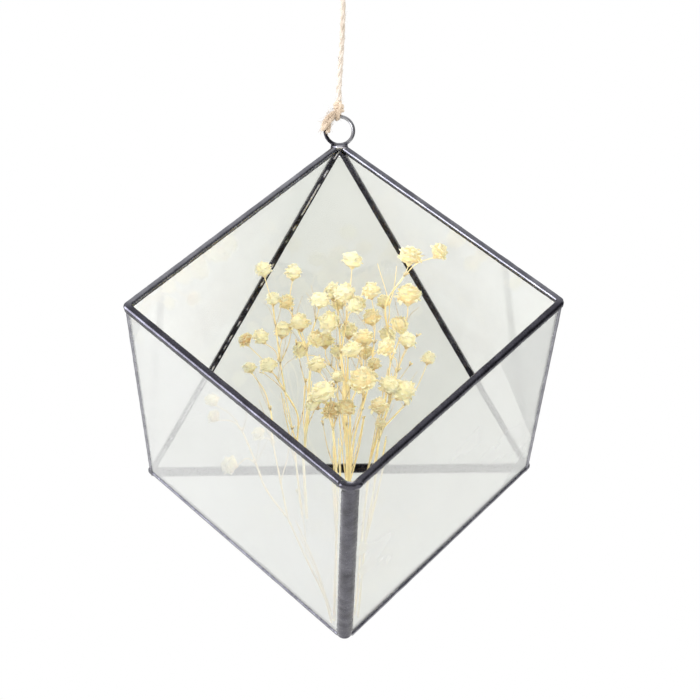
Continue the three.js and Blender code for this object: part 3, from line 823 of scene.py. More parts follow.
# %% The unevenness of a hand-run bead
BEAD_RIPPLE, RIPPLE_MM = 0.08 * MM, 5     # height and length of a slow swelling
BEAD_TREMOR, TREMOR_MM = 0.03 * MM, 1.6   # and of a finer tremor

moved = []
for vertex in solder.data.vertices:
    place = vertex.co / MM
    push = BEAD_RIPPLE * noise.noise(place / RIPPLE_MM)
    push += BEAD_TREMOR * noise.noise(place / TREMOR_MM)
    moved.append(vertex.co + vertex.normal * push)
solder.data.vertices.foreach_set("co", [c for point in moved for c in point])
solder.data.update()
print("points moved:", len(moved))

# %% [markdown]
# Where the foil of a rim ends on the glass, a black line of painted shade darkens it. On the
# rear left seam, dashes of lighter solder along the inner fillet are painted highlight. The left
# side of the front seam, the web between the lower rims and the front of the cap under the ring
# are lightened as painted highlight, and the right half of the front seam is darker. All of it is
# worked out for each point from where it lies beside the nearest seam line.

# %% How far the patina took
SHADE_LINE_WIDTH = 1.5 * MM              # width of the painted shade line along the edge of a rim's foil, where the lap meets the glass
SHADE_LINE_DARKNESS = 0.6                  # how much more patina the painted shade adds there
FILLET_HALF = 0.42 * MM           # half the width of the dashes of painted highlight
DASH_MM = 3.4                     # and about their length
GLINT_DASH_LIFT = 0.9                    # how much patina the painted highlight takes off there
# painted highlight on the solder web between the lower rims, above the front corner
WEB = corners["front"] + mm(0, 0.4, 3.0)
WEB_HIGHLIGHT = 0.8
CAP_ARC = (0.5, -0.9)             # middle of the painted highlight arc on the cap, right of and above the apex
CAP_ARC_HALF = 1.4
CAP_DULL = 0.5                    # patina on the ring and on the right of its cap


def smooth_step(value, low, high):
    share = min(max((value - low) / (high - low), 0.0), 1.0)
    return share * share * (3 - 2 * share)


def painted_cap_highlight(place):
    """How much painted highlight lightens the front of the cap under the ring: an arc 3 mm long."""
    if place.y > 0:
        return 0.0
    right, rise = CAP_ARC
    beside = max(abs(place.x / MM - right) - CAP_ARC_HALF, 0.0)
    apart = math.hypot(beside, (place.z - APEX_Z) / MM - rise)
    return 1 - smooth_step(apart, 0.35, 0.9)


# %% The patina at each point of the seams
seam_lines = []
for name, start_name, end_name, style, taken in seams:
    start, end = corners[start_name], corners[end_name]
    inward = sum(inward_ways(start_name, end_name), Vector()).normalized()
    seam_lines.append((name, start, end, inward, style["reach"] * MM, taken))


def patina_at(place):
    """The patina of the nearest seam, blended with the next ones where they meet."""
    total, weight, nearest = 0.0, 0.0, 1.0
    for line in seam_lines:
        _, start, end, _, _, taken = line
        share = (place - start).dot(end - start) / (end - start).length_squared
        beside = place - start.lerp(end, min(max(share, 0.0), 1.0))
        near = 1 / (beside.length + 0.4 * MM) ** 4
        total += taken * near
        weight += near
        if beside.length < nearest:
            nearest, closest, off, along_mm = beside.length, line, beside, share * EDGE / MM
    name, _, _, inward, reach, _ = closest
    value = total / weight
    into = off.dot(inward)
    # painted shade: a dark line along a rim where its lap meets the glass
    if name.startswith("rim"):
        value += SHADE_LINE_DARKNESS * smooth_step(into, reach - SHADE_LINE_WIDTH, reach - 0.4 * MM)
    # painted highlight: lighter dashes along the inner fillet of the rear left seam stand in for
    # glints
    if name == "seam_back_left" and into > 0 and (off - inward * into).length < FILLET_HALF:
        dash = noise.noise(Vector((along_mm / DASH_MM, 7.3, 1.9)))
        value -= GLINT_DASH_LIFT * smooth_step(dash, -0.08, 0.08)
    if name == "seam_front":
        # lighter along its left edge, which faces the window, as painted highlight, and darker on
        # its right half
        value -= 0.25 * smooth_step(-off.x / MM, 2.3, 3.1)
        value += 0.15 * smooth_step(off.x / MM, 1.0, 2.6)
    # painted highlight on the web between the lower rims
    value -= WEB_HIGHLIGHT * (1 - smooth_step((place - WEB).length / MM, 0.8, 2.4))
    # painted highlight on the front of the cap
    value -= painted_cap_highlight(place)
    return min(max(value, 0.0), 1.0)


def patinate(piece, value_at):
    """Writes the patina of each point on the mesh."""
    values = [value_at(vertex.co) for vertex in piece.data.vertices]
    piece.data.attributes.new("patina", "FLOAT", "POINT").data.foreach_set("value", values)
    return sum(values) / len(values)


print("mean patina: %.2f" % patinate(solder, patina_at))
on_frame(solder, "patina_solder", *[name for name, *_ in seams])

# %% [markdown]
# ## Ring
# The ring is a bent wire whose lower part is drowned in a cap of solder on the apex. The fillet
# between wire and solder is what makes it look soldered and not just placed, so the two are
# melted together in the same way as the seams, only finer.

# %% Ring and its cap
RING_WIRE = 0.8 * MM              # radius of the wire, before the melting makes it thinner
RING_VOXEL = 0.2 * MM
HOOP_STEPS = 72
CAP_CENTRE = mm(0, 0, APEX_Z / MM - 0.6)
CAP_HALF = (3.8 * MM, 3.2 * MM, 1.8 * MM)
COLLAR_HALF = (3.6 * MM, 1.5 * MM, 0.95 * MM)    # the solder that stands up along the wire
CAP_LINE = CAP_CENTRE.z + 2.1 * MM    # above this line the bare wire shows
CREEP = 1.3                       # how steeply the solder has crept up the wire on the left

ring_shape = Shape()
hoop = []
for i in range(HOOP_STEPS + 1):
    angle = 2 * math.pi * i / HOOP_STEPS
    hoop.append(RING_CENTRE + Vector((math.sin(angle), 0, -math.cos(angle))) * RING_RADIUS)
ring_shape.add(*tube(hoop, [RING_WIRE] * len(hoop), 12))
ball(ring_shape, CAP_CENTRE, CAP_HALF)
ball(ring_shape, CAP_CENTRE + mm(0, 0, 0.9), COLLAR_HALF)
ring = fuse(ring_shape.piece("ring_and_cap", [ring_steel, patina]), RING_VOXEL, 4)
ring.data.materials.clear()
ring.data.materials.append(ring_steel)
ring.data.materials.append(patina)
for face in ring.data.polygons:
    crept = CAP_LINE + max(0.0, -face.center.x) * CREEP
    face.material_index = 1 if face.center.z < crept else 0


def cap_patina(place):
    """Half dull, blacker to the left as painted shade, and lighter on the front arc as painted
    highlight.
    """
    # painted shade: the left of the cap is made blacker
    blacker = smooth_step(-place.x / MM, 1.0, 3.5) - painted_cap_highlight(place)
    return CAP_DULL + (1 - CAP_DULL) * blacker


print("mean patina of the cap: %.2f" % patinate(ring, cap_patina))
on_frame(ring, "ring_steel", "hanging_ring")

# %% [markdown]
# ## Flowers of dried baby's breath
# A double flower is some thirty narrow petals packed into a dome. Dry, they shrink and crumple
# against each other like popcorn, so the eye reads a soft round lump with a ragged rim, and not
# single petals. A sphere with bumps would look like a pea. So each flower here is a lumpy heart
# with real thin petals that overlap round it and curl out at their ragged tips.

# %% One petal
PETAL_ROWS = ((0.0, 0.5), (0.45, 0.95), (0.8, 1.0), (1.0, 0.7))   # share of length, of width
PETAL_COLUMNS = (-1.0, -0.36, 0.36, 1.0)
PETAL_CUP = 0.16                  # how much its sides stand up
PETAL_THICK = 0.14 * MM
PETALS, CALYX, STEM = 0, 1, 2     # finishes of a spray


def add_petal(shape, base, out, up, length, width, curl, rng, age, finish, ragged):
    """A blade from its base outward, cupped, curled and ragged at the tip."""
    side = out.cross(up)
    top, ages = [], []
    for share, broad in PETAL_ROWS:
        tip = share * share
        for column in PETAL_COLUMNS:
            reach = share * (1 - 0.1 * column * column) + rng.uniform(-ragged, ragged) * tip
            lift = curl * tip + PETAL_CUP * broad * column * column
            lift += rng.uniform(-ragged, ragged) * tip
            sideways = column * broad * width / 2
            top.append(base + out * reach * length + up * lift * length + side * sideways)
            ages.append(age * (1 - 0.75 * share))
    bottom = [point - up * PETAL_THICK for point in top]
    n, rows = len(PETAL_COLUMNS), len(PETAL_ROWS)
    under = n * rows
    faces = []
    for r in range(rows - 1):
        for c in range(n - 1):
            a = r * n + c
            faces.append((a, a + 1, a + 1 + n, a + n))
            faces.append((a + under, a + n + under, a + 1 + n + under, a + 1 + under))
    edge = [
        *range(n),
        *[r * n + n - 1 for r in range(1, rows)],
        *[(rows - 1) * n + c for c in range(n - 2, -1, -1)],
        *[r * n for r in range(rows - 2, 0, -1)],
    ]
    for a, b in zip(edge, edge[1:] + edge[:1]):
        faces.append((b, a, a + under, b + under))
    shape.add(top + bottom, faces, finish, ages + ages)


print("points of a petal:", 2 * len(PETAL_COLUMNS) * len(PETAL_ROWS))

# %% The heart of a flower
HEART = 0.84                      # radius of the lumpy heart, in radii of the flower
HEART_ROWS, HEART_COLUMNS = 6, 10
HEART_LOW, HEART_SPAN = -62, 152  # degrees under the rim where it begins, and from there to the top
HEART_FLAT = 0.7                  # how much of its depth is left underneath


def add_heart(shape, centre, axis, radius, rng, age):
    """A lumpy ball, flattened underneath."""
    rows, columns = HEART_ROWS, HEART_COLUMNS
    across = axis.orthogonal().normalized()
    points, ages = [], []
    for row in range(rows + 1):
        rise = math.radians(HEART_LOW + HEART_SPAN * row / rows)
        for column in range(columns):
            radial = Quaternion(axis, 2 * math.pi * (column + row % 2 / 2) / columns) @ across
            lump = radius * HEART * rng.uniform(0.9, 1.1)
            low = HEART_FLAT if rise < 0 else 1.0
            points.append(centre + (radial * math.cos(rise) + axis * math.sin(rise) * low) * lump)
            ages.append(min(1.0, age + rng.uniform(-0.15, 0.15)))
    faces = []
    for row in range(rows):
        for column in range(columns):
            a, b = row * columns + column, row * columns + (column + 1) % columns
            faces.append((a, b, b + columns, a + columns))
    faces.append(tuple(reversed(range(columns))))
    faces.append(tuple(range(rows * columns, (rows + 1) * columns)))
    shape.add(points, faces, PETALS, ages)


# %% One flower head
WHORLS = (
    # petals, where on the dome they start and where they aim, in degrees above the rim, and
    # their length in radii
    (10, -12, -6, 0.6),
    (11, 6, 14, 0.58),
    (10, 26, 34, 0.56),
    (8, 46, 52, 0.54),
    (5, 68, 72, 0.5),
)
SWELL = 1.17                      # the petals' tips reach past the flower's measured size
CUP = ((-0.84, 0.07), (-0.76, 0.16), (-0.64, 0.25), (-0.5, 0.34))   # height and radius, in radii
PETAL_SEAT = 0.46                 # how far from the centre the petals are rooted, in radii
PETAL_RAGGED = 0.14
SEPALS = 5


def add_flower(shape, centre, axis, diameter, rng, age):
    """A crumpled double flower with its calyx, on an axis that points out of its face."""
    radius = diameter / 2 * SWELL
    first = len(shape.points)
    across = axis.orthogonal().normalized()
    heart = min(1.0, age + rng.choice((0.15, 0.25, 0.35, 0.7)))
    add_heart(shape, centre, axis, radius, rng, heart * 0.8)
    for count, start, aim, length in WHORLS:
        spin = rng.uniform(0, 2 * math.pi)
        for i in range(count):
            turn = spin + 2 * math.pi * (i + rng.uniform(-0.3, 0.3)) / count
            radial = Quaternion(axis, turn) @ across
            low = math.radians(start + rng.uniform(-6, 6))
            rise = math.radians(aim + rng.uniform(-26, 26))
            root = radial * math.cos(low) + axis * math.sin(low)
            base = centre + root * radius * PETAL_SEAT
            out = radial * math.cos(rise) + axis * math.sin(rise)
            up = axis * math.cos(rise) - radial * math.sin(rise)
            size = radius * length * rng.uniform(0.78, 1.12)
            width = radius * rng.uniform(0.34, 0.56)
            curl = rng.uniform(-0.35, 0.35)
            browned = max(age, heart * rng.uniform(0.3, 0.9))
            add_petal(
                shape, base, out, up, size, width, curl, rng, browned, PETALS, PETAL_RAGGED)
    # no flower is round: each is pressed or drawn out one way or another
    way = Vector([rng.uniform(-1, 1) for _ in "xyz"]).normalized()
    press = rng.choice((-0.2, -0.12, 0.1, 0.16))
    for i in range(first, len(shape.points)):
        shape.points[i] += way * (shape.points[i] - centre).dot(way) * press
    cup = [centre + axis * radius * height for height, _ in CUP]
    cup_radii = [radius * wide for _, wide in CUP]
    shape.add(*tube(cup, cup_radii, 8), CALYX, rng.uniform(0.2, 0.9))
    for i in range(SEPALS):
        radial = Quaternion(axis, 2 * math.pi * i / SEPALS) @ across
        base = centre - axis * radius * 0.56 + radial * radius * 0.3
        out = (radial * 0.85 + axis * 0.5).normalized()
        up = (axis * 0.85 - radial * 0.5).normalized()
        add_petal(shape, base, out, up, radius * 0.4, radius * 0.26, 0.0, rng, 0.6, CALYX, 0.04)


# %% [markdown]
# ## Sprays
# Each spray grows as one thing: a stem, branches that leave it, and stalks that carry flowers.
# The routes are the ones that the solids have, in millimetres from the foot corner of the glass,
# as (right, back, up). A flower is such a place with its diameter. Bare twigs whose flowers have
# dropped are added, because a dried bunch is full of them.

# %% Routes of the sprays
# each spray: its stem, then its branches as (route, flowers), then its bare twigs
SPRAYS = {
    "spray_side": ([(-3.4, -1.5, 6.5), (-6.2, -3, 17), (-14.3, -8, 34.5), (-22, -13, 52)], [
        ([(-22, -13, 52), (-31, -13, 64), (-35.6, -12, 75)], [(-46, -10, 74, 6.8)]),
        ([(-33, -13, 69), (-37, -11, 79), (-41, -8, 88)], [(-53, -4, 94, 5), (-54, -2, 101, 6)]),
        ([(-22, -13, 52), (-25, -12, 67), (-28, -10, 82)], [(-34, -12, 87, 5.2)]),
        ([(-28, -10, 82), (-30, -4, 96)], [(-39, 2, 114, 5.4)]),
    ], [
        [(-14.3, -8, 34.5), (-15, -7, 48), (-18, -6, 62)],
        [(-25, -12, 67), (-22, -10, 78), (-21, -8, 88)],
    ]),
    "spray_left": ([(-15.8, 33.3, 48.6), (-18.9, 22, 78), (-18.7, 14, 94), (-24, 8, 104)], [
        ([(-24, 8, 104), (-27, 4, 109)], [(-31, 0, 115, 6.8), (-41, 4, 126, 6)]),
        ([(-24, 8, 104), (-26, 3, 116)], [(-34, -4, 127, 7), (-25, 2, 130, 7.5)]),
        ([(-26, 3, 116), (-28, -1, 132)], [(-29, -2, 143, 5.7), (-33, -8, 155, 6.2)]),
    ], [
        [(-18.8, 18, 86), (-16, 14, 97), (-15, 10, 108)],
        [(-20, 12, 97), (-26, 10, 106), (-33, 8, 112)],
        [(-26, 3, 116), (-22, 2, 126), (-21, 0, 138)],
    ]),
    "spray_left_tall": ([(-13.8, 33, 48.1), (-15.4, 22, 78), (-14.6, 12, 94), (-13.3, 4, 113)], [
        ([(-13.3, 4, 113), (-15, 0, 122)], [(-17.6, -2, 133, 7.5), (-11, -7, 126, 6)]),
        ([(-15, 0, 122), (-20, 1, 134)], [(-23.4, 4, 142, 6.5), (-20.6, -6, 154, 7)]),
        ([(-15, 0, 122), (-11, -8, 134)], [(-9.3, -12, 142, 7)]),
    ], [
        [(-15.2, 16, 87), (-11, 13, 97), (-9, 10, 106)],
        [(-14, 8, 103), (-17, 6, 114), (-19, 4, 124)],
    ]),
    "spray_centre_low": ([(-2.5, -4.2, 7.8), (-1.7, -9, 44), (-2.6, -14, 71), (-3.9, -17, 88)], [
        ([(-3.9, -17, 88), (-6, -22, 95)], [(-8.4, -26, 103.4, 9), (-12, -22, 99, 6.4)]),
        ([(-3.9, -17, 88), (-3, -15, 92)], [(-4.6, -17, 96, 7), (1.2, -19, 97.2, 7)]),
        ([(-3.9, -17, 88), (-5, -20, 101)], [(-2.2, -22, 110, 5.3), (-10.6, -18, 115, 6.8)]),
    ], [
        [(-2.6, -14, 71), (-6, -16, 80), (-8, -17, 90)],
        [(-2.6, -14, 71), (0, -15, 82), (1.5, -16, 90)],
    ]),
    "spray_centre_tall": ([(0, 3.3, 6), (2.4, 0, 66), (1.6, -2, 100), (-0.3, -3, 120)], [
        ([(-0.3, -3, 120), (-1, -4, 131)],
         [(-3.6, -2, 146, 8), (-5.1, -10, 133, 8), (-1, 5, 142, 7)]),
        ([(-0.3, -3, 120), (1.6, -5, 132)],
         [(0.8, -12, 145, 7.5), (5.5, -13, 140, 7), (4.4, -8, 159, 7.2)]),
        ([(1.6, -2, 100), (3, 3, 118)], [(3.4, 6, 130, 7.5)]),
    ], [
        [(2.2, -1, 80), (0, 0, 94), (-3, 1, 106)],
        [(1.6, -2, 100), (6, -3, 112), (9, -4, 126)],
    ]),
    "spray_centre_right": ([(3.8, 0, 6), (3.6, -4, 69), (5.1, -8, 84), (8, -13, 96)], [
        ([(8, -13, 96), (8.6, -17, 101)], [(7.6, -24, 108.2, 9.6), (10.5, -18, 110, 8.3)]),
        ([(8, -13, 96), (11, -11, 106)], [(13.4, -10, 115.5, 5.8)]),
        ([(8.6, -17, 101), (8, -19, 114)], [(3.8, -22, 121, 7), (8.6, -14, 126, 7.5)]),
        ([(11, -11, 106), (13.5, -9, 124)], [(12.7, -6, 135, 7), (11.9, -16, 145.5, 6.8)]),
    ], [
        [(5.1, -8, 84), (8, -9, 96), (9, -10, 108)],
        [(3.6, -4, 69), (7, -6, 80), (9, -7, 92)],
    ]),
    "spray_right_low": ([(6.3, 0.9, 8.4), (9.6, -3, 44), (12.3, -8, 62), (16, -15, 88)], [
        ([(13.6, -11, 74), (15, -18, 84)], [(15.3, -22, 91, 4.5), (14.8, -25, 98, 7.3)]),
        ([(16, -15, 88), (19, -16, 98)], [(19.4, -21, 106.4, 8.4), (24.6, -19, 104, 9)]),
        ([(19, -16, 98), (22.6, -18, 112)], [(17.7, -25, 122, 7), (27, -19, 125, 7)]),
        ([(16, -15, 88), (26, -9, 98)], [(36.6, -6, 118, 5.8)]),
    ], [
        [(14.5, -12, 80), (18, -10, 92), (22, -8, 104)],
        [(12.3, -8, 62), (14, -7, 76), (17, -6, 90)],
        [(22.6, -18, 112), (26, -15, 120), (31, -12, 127)],
    ]),
    "spray_right_tall": ([(5, 5.3, 8.8), (11.6, 6, 70), (17.5, 5, 93), (21, 0, 117)], [
        ([(21, 0, 117), (19.4, -3, 130)], [(17.9, -3, 142, 6), (24, -8, 132, 7.5)]),
        ([(19.4, -3, 130), (20, -6, 140), (15, -8, 158)], []),
        ([(20, -6, 140), (22, -8, 148), (23, -8, 157)], []),
        ([(21, 0, 117), (26, -6, 130)], [(27.5, -13, 144, 9)]),
        ([(19.4, -3, 130), (18.5, -9, 141), (25.5, -16, 152)],
         [(28, -17, 160, 8.2), (40, -18, 162, 7)]),
    ], [
        [(14.5, 5.5, 82), (17, 4, 96), (18, 3, 108)],
        [(17.5, 5, 93), (23, 3, 106), (29, 2, 115)],
    ]),
    "spray_back": ([(1.5, 9, 14.1), (4, 10, 70), (4, 12, 96), (2.7, 12, 108)], [
        ([(2.7, 12, 108), (-4, 13, 115)], [(-17, 13, 122, 7), (-6.7, 15, 126, 7.5)]),
        ([(2.7, 12, 108), (0, 11, 114)], [(-1, 10, 121, 6.5)]),
        ([(4, 12, 98), (9, 10, 110)], [(10.5, 9, 121, 7), (20, 9, 128, 7)]),
    ], [
        [(4, 11, 82), (8, 11, 96), (12, 11, 106)],
        [(4, 12, 96), (-2, 12, 108), (-9, 12, 118)],
    ]),
}
# the flowers that have gone brown, and how far
WITHERED = {
    (-4.6, -17, 96, 7): 0.5,
    (1.2, -19, 97.2, 7): 0.5,
    (-53, -4, 94, 5): 0.5,
    (-41, 4, 126, 6): 0.3,
}
heads = 0
for _, branches, _ in SPRAYS.values():
    heads += sum(len(flowers) for _, flowers in branches)
print("flowers:", heads)

# %% From the bunch's own millimetres to the frame
BUNCH_LEAN = math.radians(0.6)    # the whole bunch leans a little towards its top
BUNCH_SCALE = 0.99
BUNCH_PIVOT = 126                 # height above the foot that the lean leaves in place


def from_foot(place):
    """Where a place of the bunch is in the frame, with the lean of the whole bunch."""
    x, y, z = place[:3]
    lift = z - BUNCH_PIVOT
    right = x * math.cos(BUNCH_LEAN) + lift * math.sin(BUNCH_LEAN)
    up = lift * math.cos(BUNCH_LEAN) - x * math.sin(BUNCH_LEAN)
    return mm(BUNCH_SCALE * right, y, BUNCH_PIVOT + BUNCH_SCALE * up) + Vector((0, 0, FOOT_Z))


print("the bunch's root:", [round(x, 4) for x in from_foot((0, 0, 0))])

# %% [markdown]
# Straw is never a plain rod: it thins upwards, swells and browns at its nodes, and carries a pair
# of small dry leaves at a fork. Side stems break off at all heights and leave bare ends.

# %% Sticks, leaves and bare stalks
# radius of the thicker main stems in millimetres, and of the others
THICK_STEMS = {
    "spray_centre_tall": 0.74,
    "spray_centre_low": 0.64,
    "spray_left_tall": 0.66,
    "spray_centre_right": 0.56,
}
THIN_STEM = 0.46
BRANCH_RADIUS = 0.4 * MM
STALK_RADIUS = 0.22 * MM
TWIG_RADIUS = 0.2 * MM
WISP_RADIUS = 0.13 * MM
STICK_STEP = 1.2                  # millimetres from ring to ring of a stick
NODE_SWELL = 0.25
STALK_ROOT = 0.7 * MM             # how far inside its branch a stalk begins
STALK_SPRING = 0.4                # how straight it leaves the branch, as a share of its length
WISPS_BELOW = FOOT_Z + 140 * MM   # higher up they would reach the glass
FLOWER_LIFT = 0.35                # how much a flower turns up from its stalk


def add_stick(shape, route, first, last, rng, age, sides=7):
    """A stem that thins from first to last radius, with a swollen brown node now and then."""
    path = curve_through(route, STICK_STEP * MM)
    radii, ages = [], []
    next_node = rng.uniform(6, 16)
    walked = 0.0
    for i in range(len(path)):
        walked += STICK_STEP
        share = i / (len(path) - 1)
        swell = 0.0
        if walked > next_node:
            swell = NODE_SWELL
            next_node = walked + rng.uniform(14, 28)
        thinned = first + (last - first) * share
        radii.append(thinned * (1 + swell + rng.uniform(-0.06, 0.06)))
        ages += [min(1.0, age + swell * 0.9 + rng.uniform(-0.06, 0.06))] * sides
    shape.add(*tube(path, radii, sides), STEM, ages)
    return path


def add_bracts(shape, place, heading, rng):
    """A pair of small dry leaves at a fork."""
    across = heading.orthogonal().normalized()
    spin = rng.uniform(0, math.pi)
    for turn in (spin, spin + math.pi):
        radial = Quaternion(heading, turn) @ across
        out = (heading + radial * 0.7).normalized()
        up = (radial - heading * 0.7).normalized() * -1
        length = rng.uniform(1.6, 2.8) * MM
        add_petal(shape, place, out, up, length, 0.8 * MM, 0.1, rng, 1.3, STEM, 0.05)


def add_wisps(shape, fork, rng):
    """Two hair-thin bare stalks that have lost their flowers."""
    for _ in range(2):
        tip = fork + mm(rng.uniform(-8, 8), rng.uniform(-6, 5), rng.uniform(9, 19))
        bend = fork.lerp(tip, 0.5) + mm(rng.uniform(-1.2, 1.2), 0, rng.uniform(0, 2))
        route = [fork - UP * STALK_ROOT, bend, tip]
        add_stick(shape, route, WISP_RADIUS, WISP_RADIUS * 0.6, rng, 0.85, 5)


def add_stragglers(shape, stem, rng):
    """Thin side stems that grow beside the main one and have broken off at some height."""
    for _ in range(3):
        sideways = mm(rng.uniform(-4, 4), rng.uniform(-2.5, 2.5), 0)
        root = stem[1].lerp(stem[2], rng.uniform(-0.4, 0.3))
        top = stem[2].lerp(stem[3], rng.uniform(0.6, 1.0)) + sideways
        route = [root, root.lerp(top, 0.5) + sideways * 0.3, top]
        add_stick(shape, route, TWIG_RADIUS * 1.3, TWIG_RADIUS, rng, rng.uniform(0.2, 0.6), 5)


# %% Growing the sprays


def grow_spray(name, stem, branches, twigs, seed):
    """One spray as one piece: stem, broken side stems, branches with flowers, bare twigs."""
    rng = random.Random(seed)
    shape = Shape()
    stem = [from_foot(place) for place in stem]
    thick = THICK_STEMS.get(name, THIN_STEM) * MM
    add_stick(shape, stem, thick, thick * 0.8, rng, rng.uniform(0.0, 0.3))
    add_stragglers(shape, stem, rng)
    add_bracts(shape, stem[-1], (stem[-1] - stem[-2]).normalized(), rng)
    for route, flowers in branches:
        route = [from_foot(place) for place in route]
        if not flowers:
            add_stick(shape, route, TWIG_RADIUS * 1.2, TWIG_RADIUS * 0.6, rng, 0.4)
            continue
        fork = route[-1]
        heading = (fork - route[-2]).normalized()
        add_stick(shape, route, BRANCH_RADIUS, BRANCH_RADIUS * 0.75, rng, rng.uniform(0.1, 0.4))
        add_bracts(shape, fork, heading, rng)
        if fork.z < WISPS_BELOW:
            add_wisps(shape, fork, rng)
        root = fork - heading * STALK_ROOT
        for flower in flowers:
            centre = from_foot(flower)
            diameter = flower[3] * MM
            bend = fork + heading * (fork - centre).length * STALK_SPRING
            bend = bend.lerp((fork + centre) / 2, 0.45)
            axis = (centre - bend).normalized().lerp(UP, FLOWER_LIFT).normalized()
            stalk = [root, bend, centre - axis * diameter * 0.4]
            add_stick(shape, stalk, STALK_RADIUS, STALK_RADIUS * 0.8, rng, 0.45, 6)
            add_flower(shape, centre, axis, diameter, rng, WITHERED.get(flower, 0.0))
    for route in twigs:
        route = [from_foot(place) for place in route]
        path = add_stick(shape, route, TWIG_RADIUS * 1.3, TWIG_RADIUS * 0.7, rng, 0.7, 5)
        add_bracts(shape, path[-1], (path[-1] - path[-2]).normalized(), rng)
    made = shape.piece(name + "_grown", [petal_paper, calyx_husk, straw_stem])
    on_frame(made, "dried_flower", name)


FIRST_SEED = 41
for seed, (name, parts) in enumerate(SPRAYS.items(), FIRST_SEED):
    grow_spray(name, *parts, seed)

# %% [markdown]
# ## Light
# The picture is lit softly from all round, as in a white tent, with a large window on the left.
# Metal shows the room that it mirrors, so that room is painted here in directions: white above
# and below, greyer at eye level, darker on the right, and the window as one bright soft patch.
# What the glass lets through is the pale backdrop, matt things are lit by the tent, and past the
# object the picture is pure white. So the world looks at what kind of ray asks.

# %% World
WINDOW_WAY = Vector((-0.93, -0.25, -0.26)).normalized()
WINDOW_EDGE, WINDOW_HEART = 0.78, 0.94    # cosines of the angle from the window's middle
WINDOW_GLOW = 9.5
WINDOW_TINT = (0.95, 0.95, 1.0)
DARK_WAY = Vector((0.9, -0.2, -0.3)).normalized()
DARK_EDGE, DARK_HEART = 0.4, 0.85         # the same for the dark right side of the room
DARK_SHARE = 0.85
BACKDROP_GLOW = 1.1                       # the backdrop is lit more than paper white on the left
TENT_LEFT, TENT_RIGHT = 1.2, 1.6          # how much more than paper white lights matt things
TENT_WITHIN = 2.7                         # and those behind glass, for what the panes' bloom took
WHITE = "#FFFFFF"

world = bpy.data.worlds.new("studio")
world.use_nodes = True
bpy.context.scene.world = world
tree = world.node_tree
direction = add_node(tree, "ShaderNodeTexCoord").outputs["Generated"]
split = add_node(tree, "ShaderNodeSeparateXYZ", inputs={"Vector": direction}).outputs
ray = add_node(tree, "ShaderNodeLightPath").outputs


def towards(way, edge, heart, most):
    """A soft patch in the world: 0 away from a direction, up to `most` at it."""
    near = add_node(tree, "ShaderNodeVectorMath", {"operation": "DOT_PRODUCT"}, {
        0: direction, 1: tuple(way)}).outputs["Value"]
    return add_node(tree, "ShaderNodeMapRange", {"interpolation_type": "SMOOTHSTEP"}, {
        "Value": near, "From Min": edge, "From Max": heart, "To Min": 0.0, "To Max": most})


above = add_node(tree, "ShaderNodeMapRange", inputs={
    "Value": split["Z"], "From Min": -1.0, "From Max": 1.0})
room = add_node(tree, "ShaderNodeValToRGB", {"stops": [
    (0.0, "#F4F4F4"), (0.30, "#EDEDEE"), (0.46, "#B9B9BD"),
    (0.6, "#BDBDC1"), (0.8, "#E4E4E8"), (1.0, WHITE),
]}, {"Fac": above})
window = add_node(tree, "ShaderNodeVectorMath", {"operation": "SCALE"}, {
    0: WINDOW_TINT, "Scale": towards(WINDOW_WAY, WINDOW_EDGE, WINDOW_HEART, WINDOW_GLOW)})
mirrored = add_node(tree, "ShaderNodeVectorMath", {"operation": "ADD"}, {0: room, 1: window})

# the backdrop is brightest on the left, where the window is, and greyest in the middle
across = add_node(tree, "ShaderNodeMapRange", inputs={
    "Value": split["X"], "From Min": -0.16, "From Max": 0.16})
cloth = add_node(tree, "ShaderNodeValToRGB", {"stops": [
    (0.0, WHITE), (0.22, "#FDFDFC"), (0.5, "#DDDFDB"),
    (0.65, "#DCDDD9"), (0.8, "#E0E1DE"), (1.0, "#E6E7E4"),
]}, {"Fac": across})
backdrop = add_node(tree, "ShaderNodeVectorMath", {"operation": "SCALE"}, {
    0: cloth, "Scale": BACKDROP_GLOW})

# a ray that has left a matt surface brings the light of the whole tent, also through a pane
tent = add_node(tree, "ShaderNodeMapRange", inputs={
    "Value": split["X"], "From Min": -1.0, "From Max": 1.0,
    "To Min": TENT_LEFT, "To Max": TENT_RIGHT})
was_matt = add_node(tree, "ShaderNodeMath", {"operation": "MINIMUM"}, {
    0: ray["Diffuse Depth"], 1: 1.0})
through_pane = add_node(tree, "ShaderNodeMath", {"operation": "GREATER_THAN"}, {
    0: ray["Transmission Depth"], 1: 1.5})
matt_within = add_node(tree, "ShaderNodeMath", {"operation": "MULTIPLY"}, {
    0: was_matt, 1: through_pane})

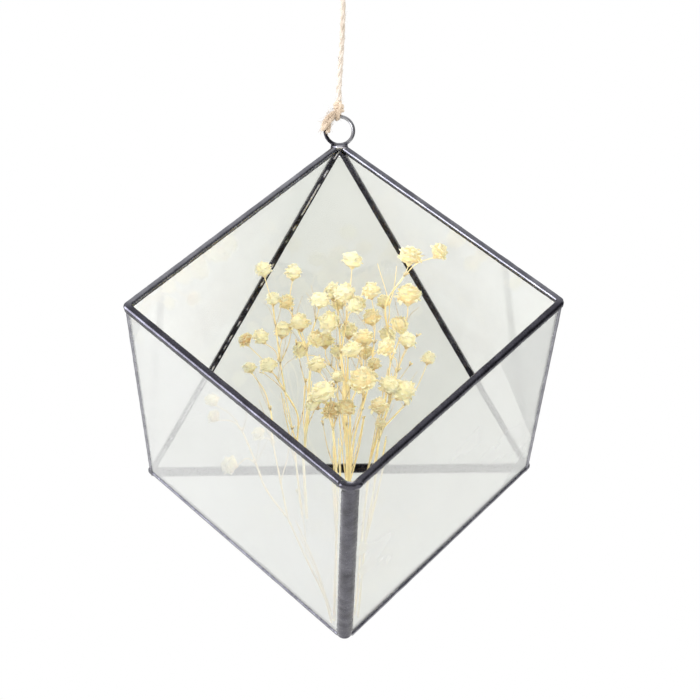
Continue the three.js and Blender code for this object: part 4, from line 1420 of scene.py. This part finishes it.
# each row takes the place of what is above it, as far as its factor is 1
seen = mirrored
for factor, instead in (
    (towards(DARK_WAY, DARK_EDGE, DARK_HEART, DARK_SHARE), colour("#48484C")),
    (ray["Is Transmission Ray"], backdrop),
    (was_matt, tent),
    (matt_within, (TENT_WITHIN, TENT_WITHIN, TENT_WITHIN, 1.0)),
    (ray["Is Camera Ray"], colour(WHITE)),
):
    seen = add_node(tree, "ShaderNodeMix", {"data_type": "RGBA"}, {
        "Factor": factor, 6: seen, 7: instead}).outputs[2]
tree.links.new(seen, tree.nodes["Background"].inputs["Color"])
print("nodes of the world:", len(tree.nodes))

# %% [markdown]
# Three large square lamps stand for the tent's own lamps. They only light what is matt, because
# their hard edges would show in the metal and through the glass.

# %% Lamps
LAMPS = (
    # name, place, size, watts and tint
    ("key", (-0.55, -0.85, 0.45), 0.5, 1.3, "#FFFDF8"),
    ("fill", (0.1, -1.3, -0.12), 0.7, 0.9, "#FFFDF8"),
    ("top", (0.1, -0.15, 0.75), 0.6, 1.0, WHITE),
)
for name, place, size, watts, tint in LAMPS:
    light = bpy.data.lights.new(name, "AREA")
    light.size = size
    light.energy = watts
    light.color = colour(tint)[:3]
    lamp = bpy.data.objects.new(name, light)
    lamp.location = place
    lamp.rotation_mode = "QUATERNION"
    lamp.rotation_quaternion = (middle - Vector(place)).to_track_quat("-Z", "Y")
    lamp.visible_glossy = False
    lamp.visible_transmission = False
    bpy.context.scene.collection.objects.link(lamp)
print("lamps:", len(LAMPS))

# %% [markdown]
# The glass hangs in the air, so the pale floor lies well below it, out of the picture, and only
# matters in views from above. The Standard view keeps white paper white.

# %% Floor
FLOOR_BELOW = 0.35                # metres under the foot, out of the picture
FLOOR_RADIUS = 1.2
FLOOR_SIDES = 96
floor_mesh = bpy.data.meshes.new("floor")
floor_mesh.from_pydata([
    (FLOOR_RADIUS * math.cos(angle), FLOOR_RADIUS * math.sin(angle), 0)
    for angle in [2 * math.pi * i / FLOOR_SIDES for i in range(FLOOR_SIDES)]
], [], [list(range(FLOOR_SIDES))])
floor_mesh.materials.append(new_finish("pale_matt_floor", {
    "Base Color": colour("#F2F2F0"), "Roughness": 0.9})[0])
floor = bpy.data.objects.new("floor", floor_mesh)
floor.location.z = FOOT_Z - FLOOR_BELOW
floor.visible_transmission = False
bpy.context.scene.collection.objects.link(floor)
print("floor %.2f m under the origin" % -floor.location.z)

# %% View
bpy.context.scene.view_settings.view_transform = "Standard"
print("view:", bpy.context.scene.view_settings.view_transform)
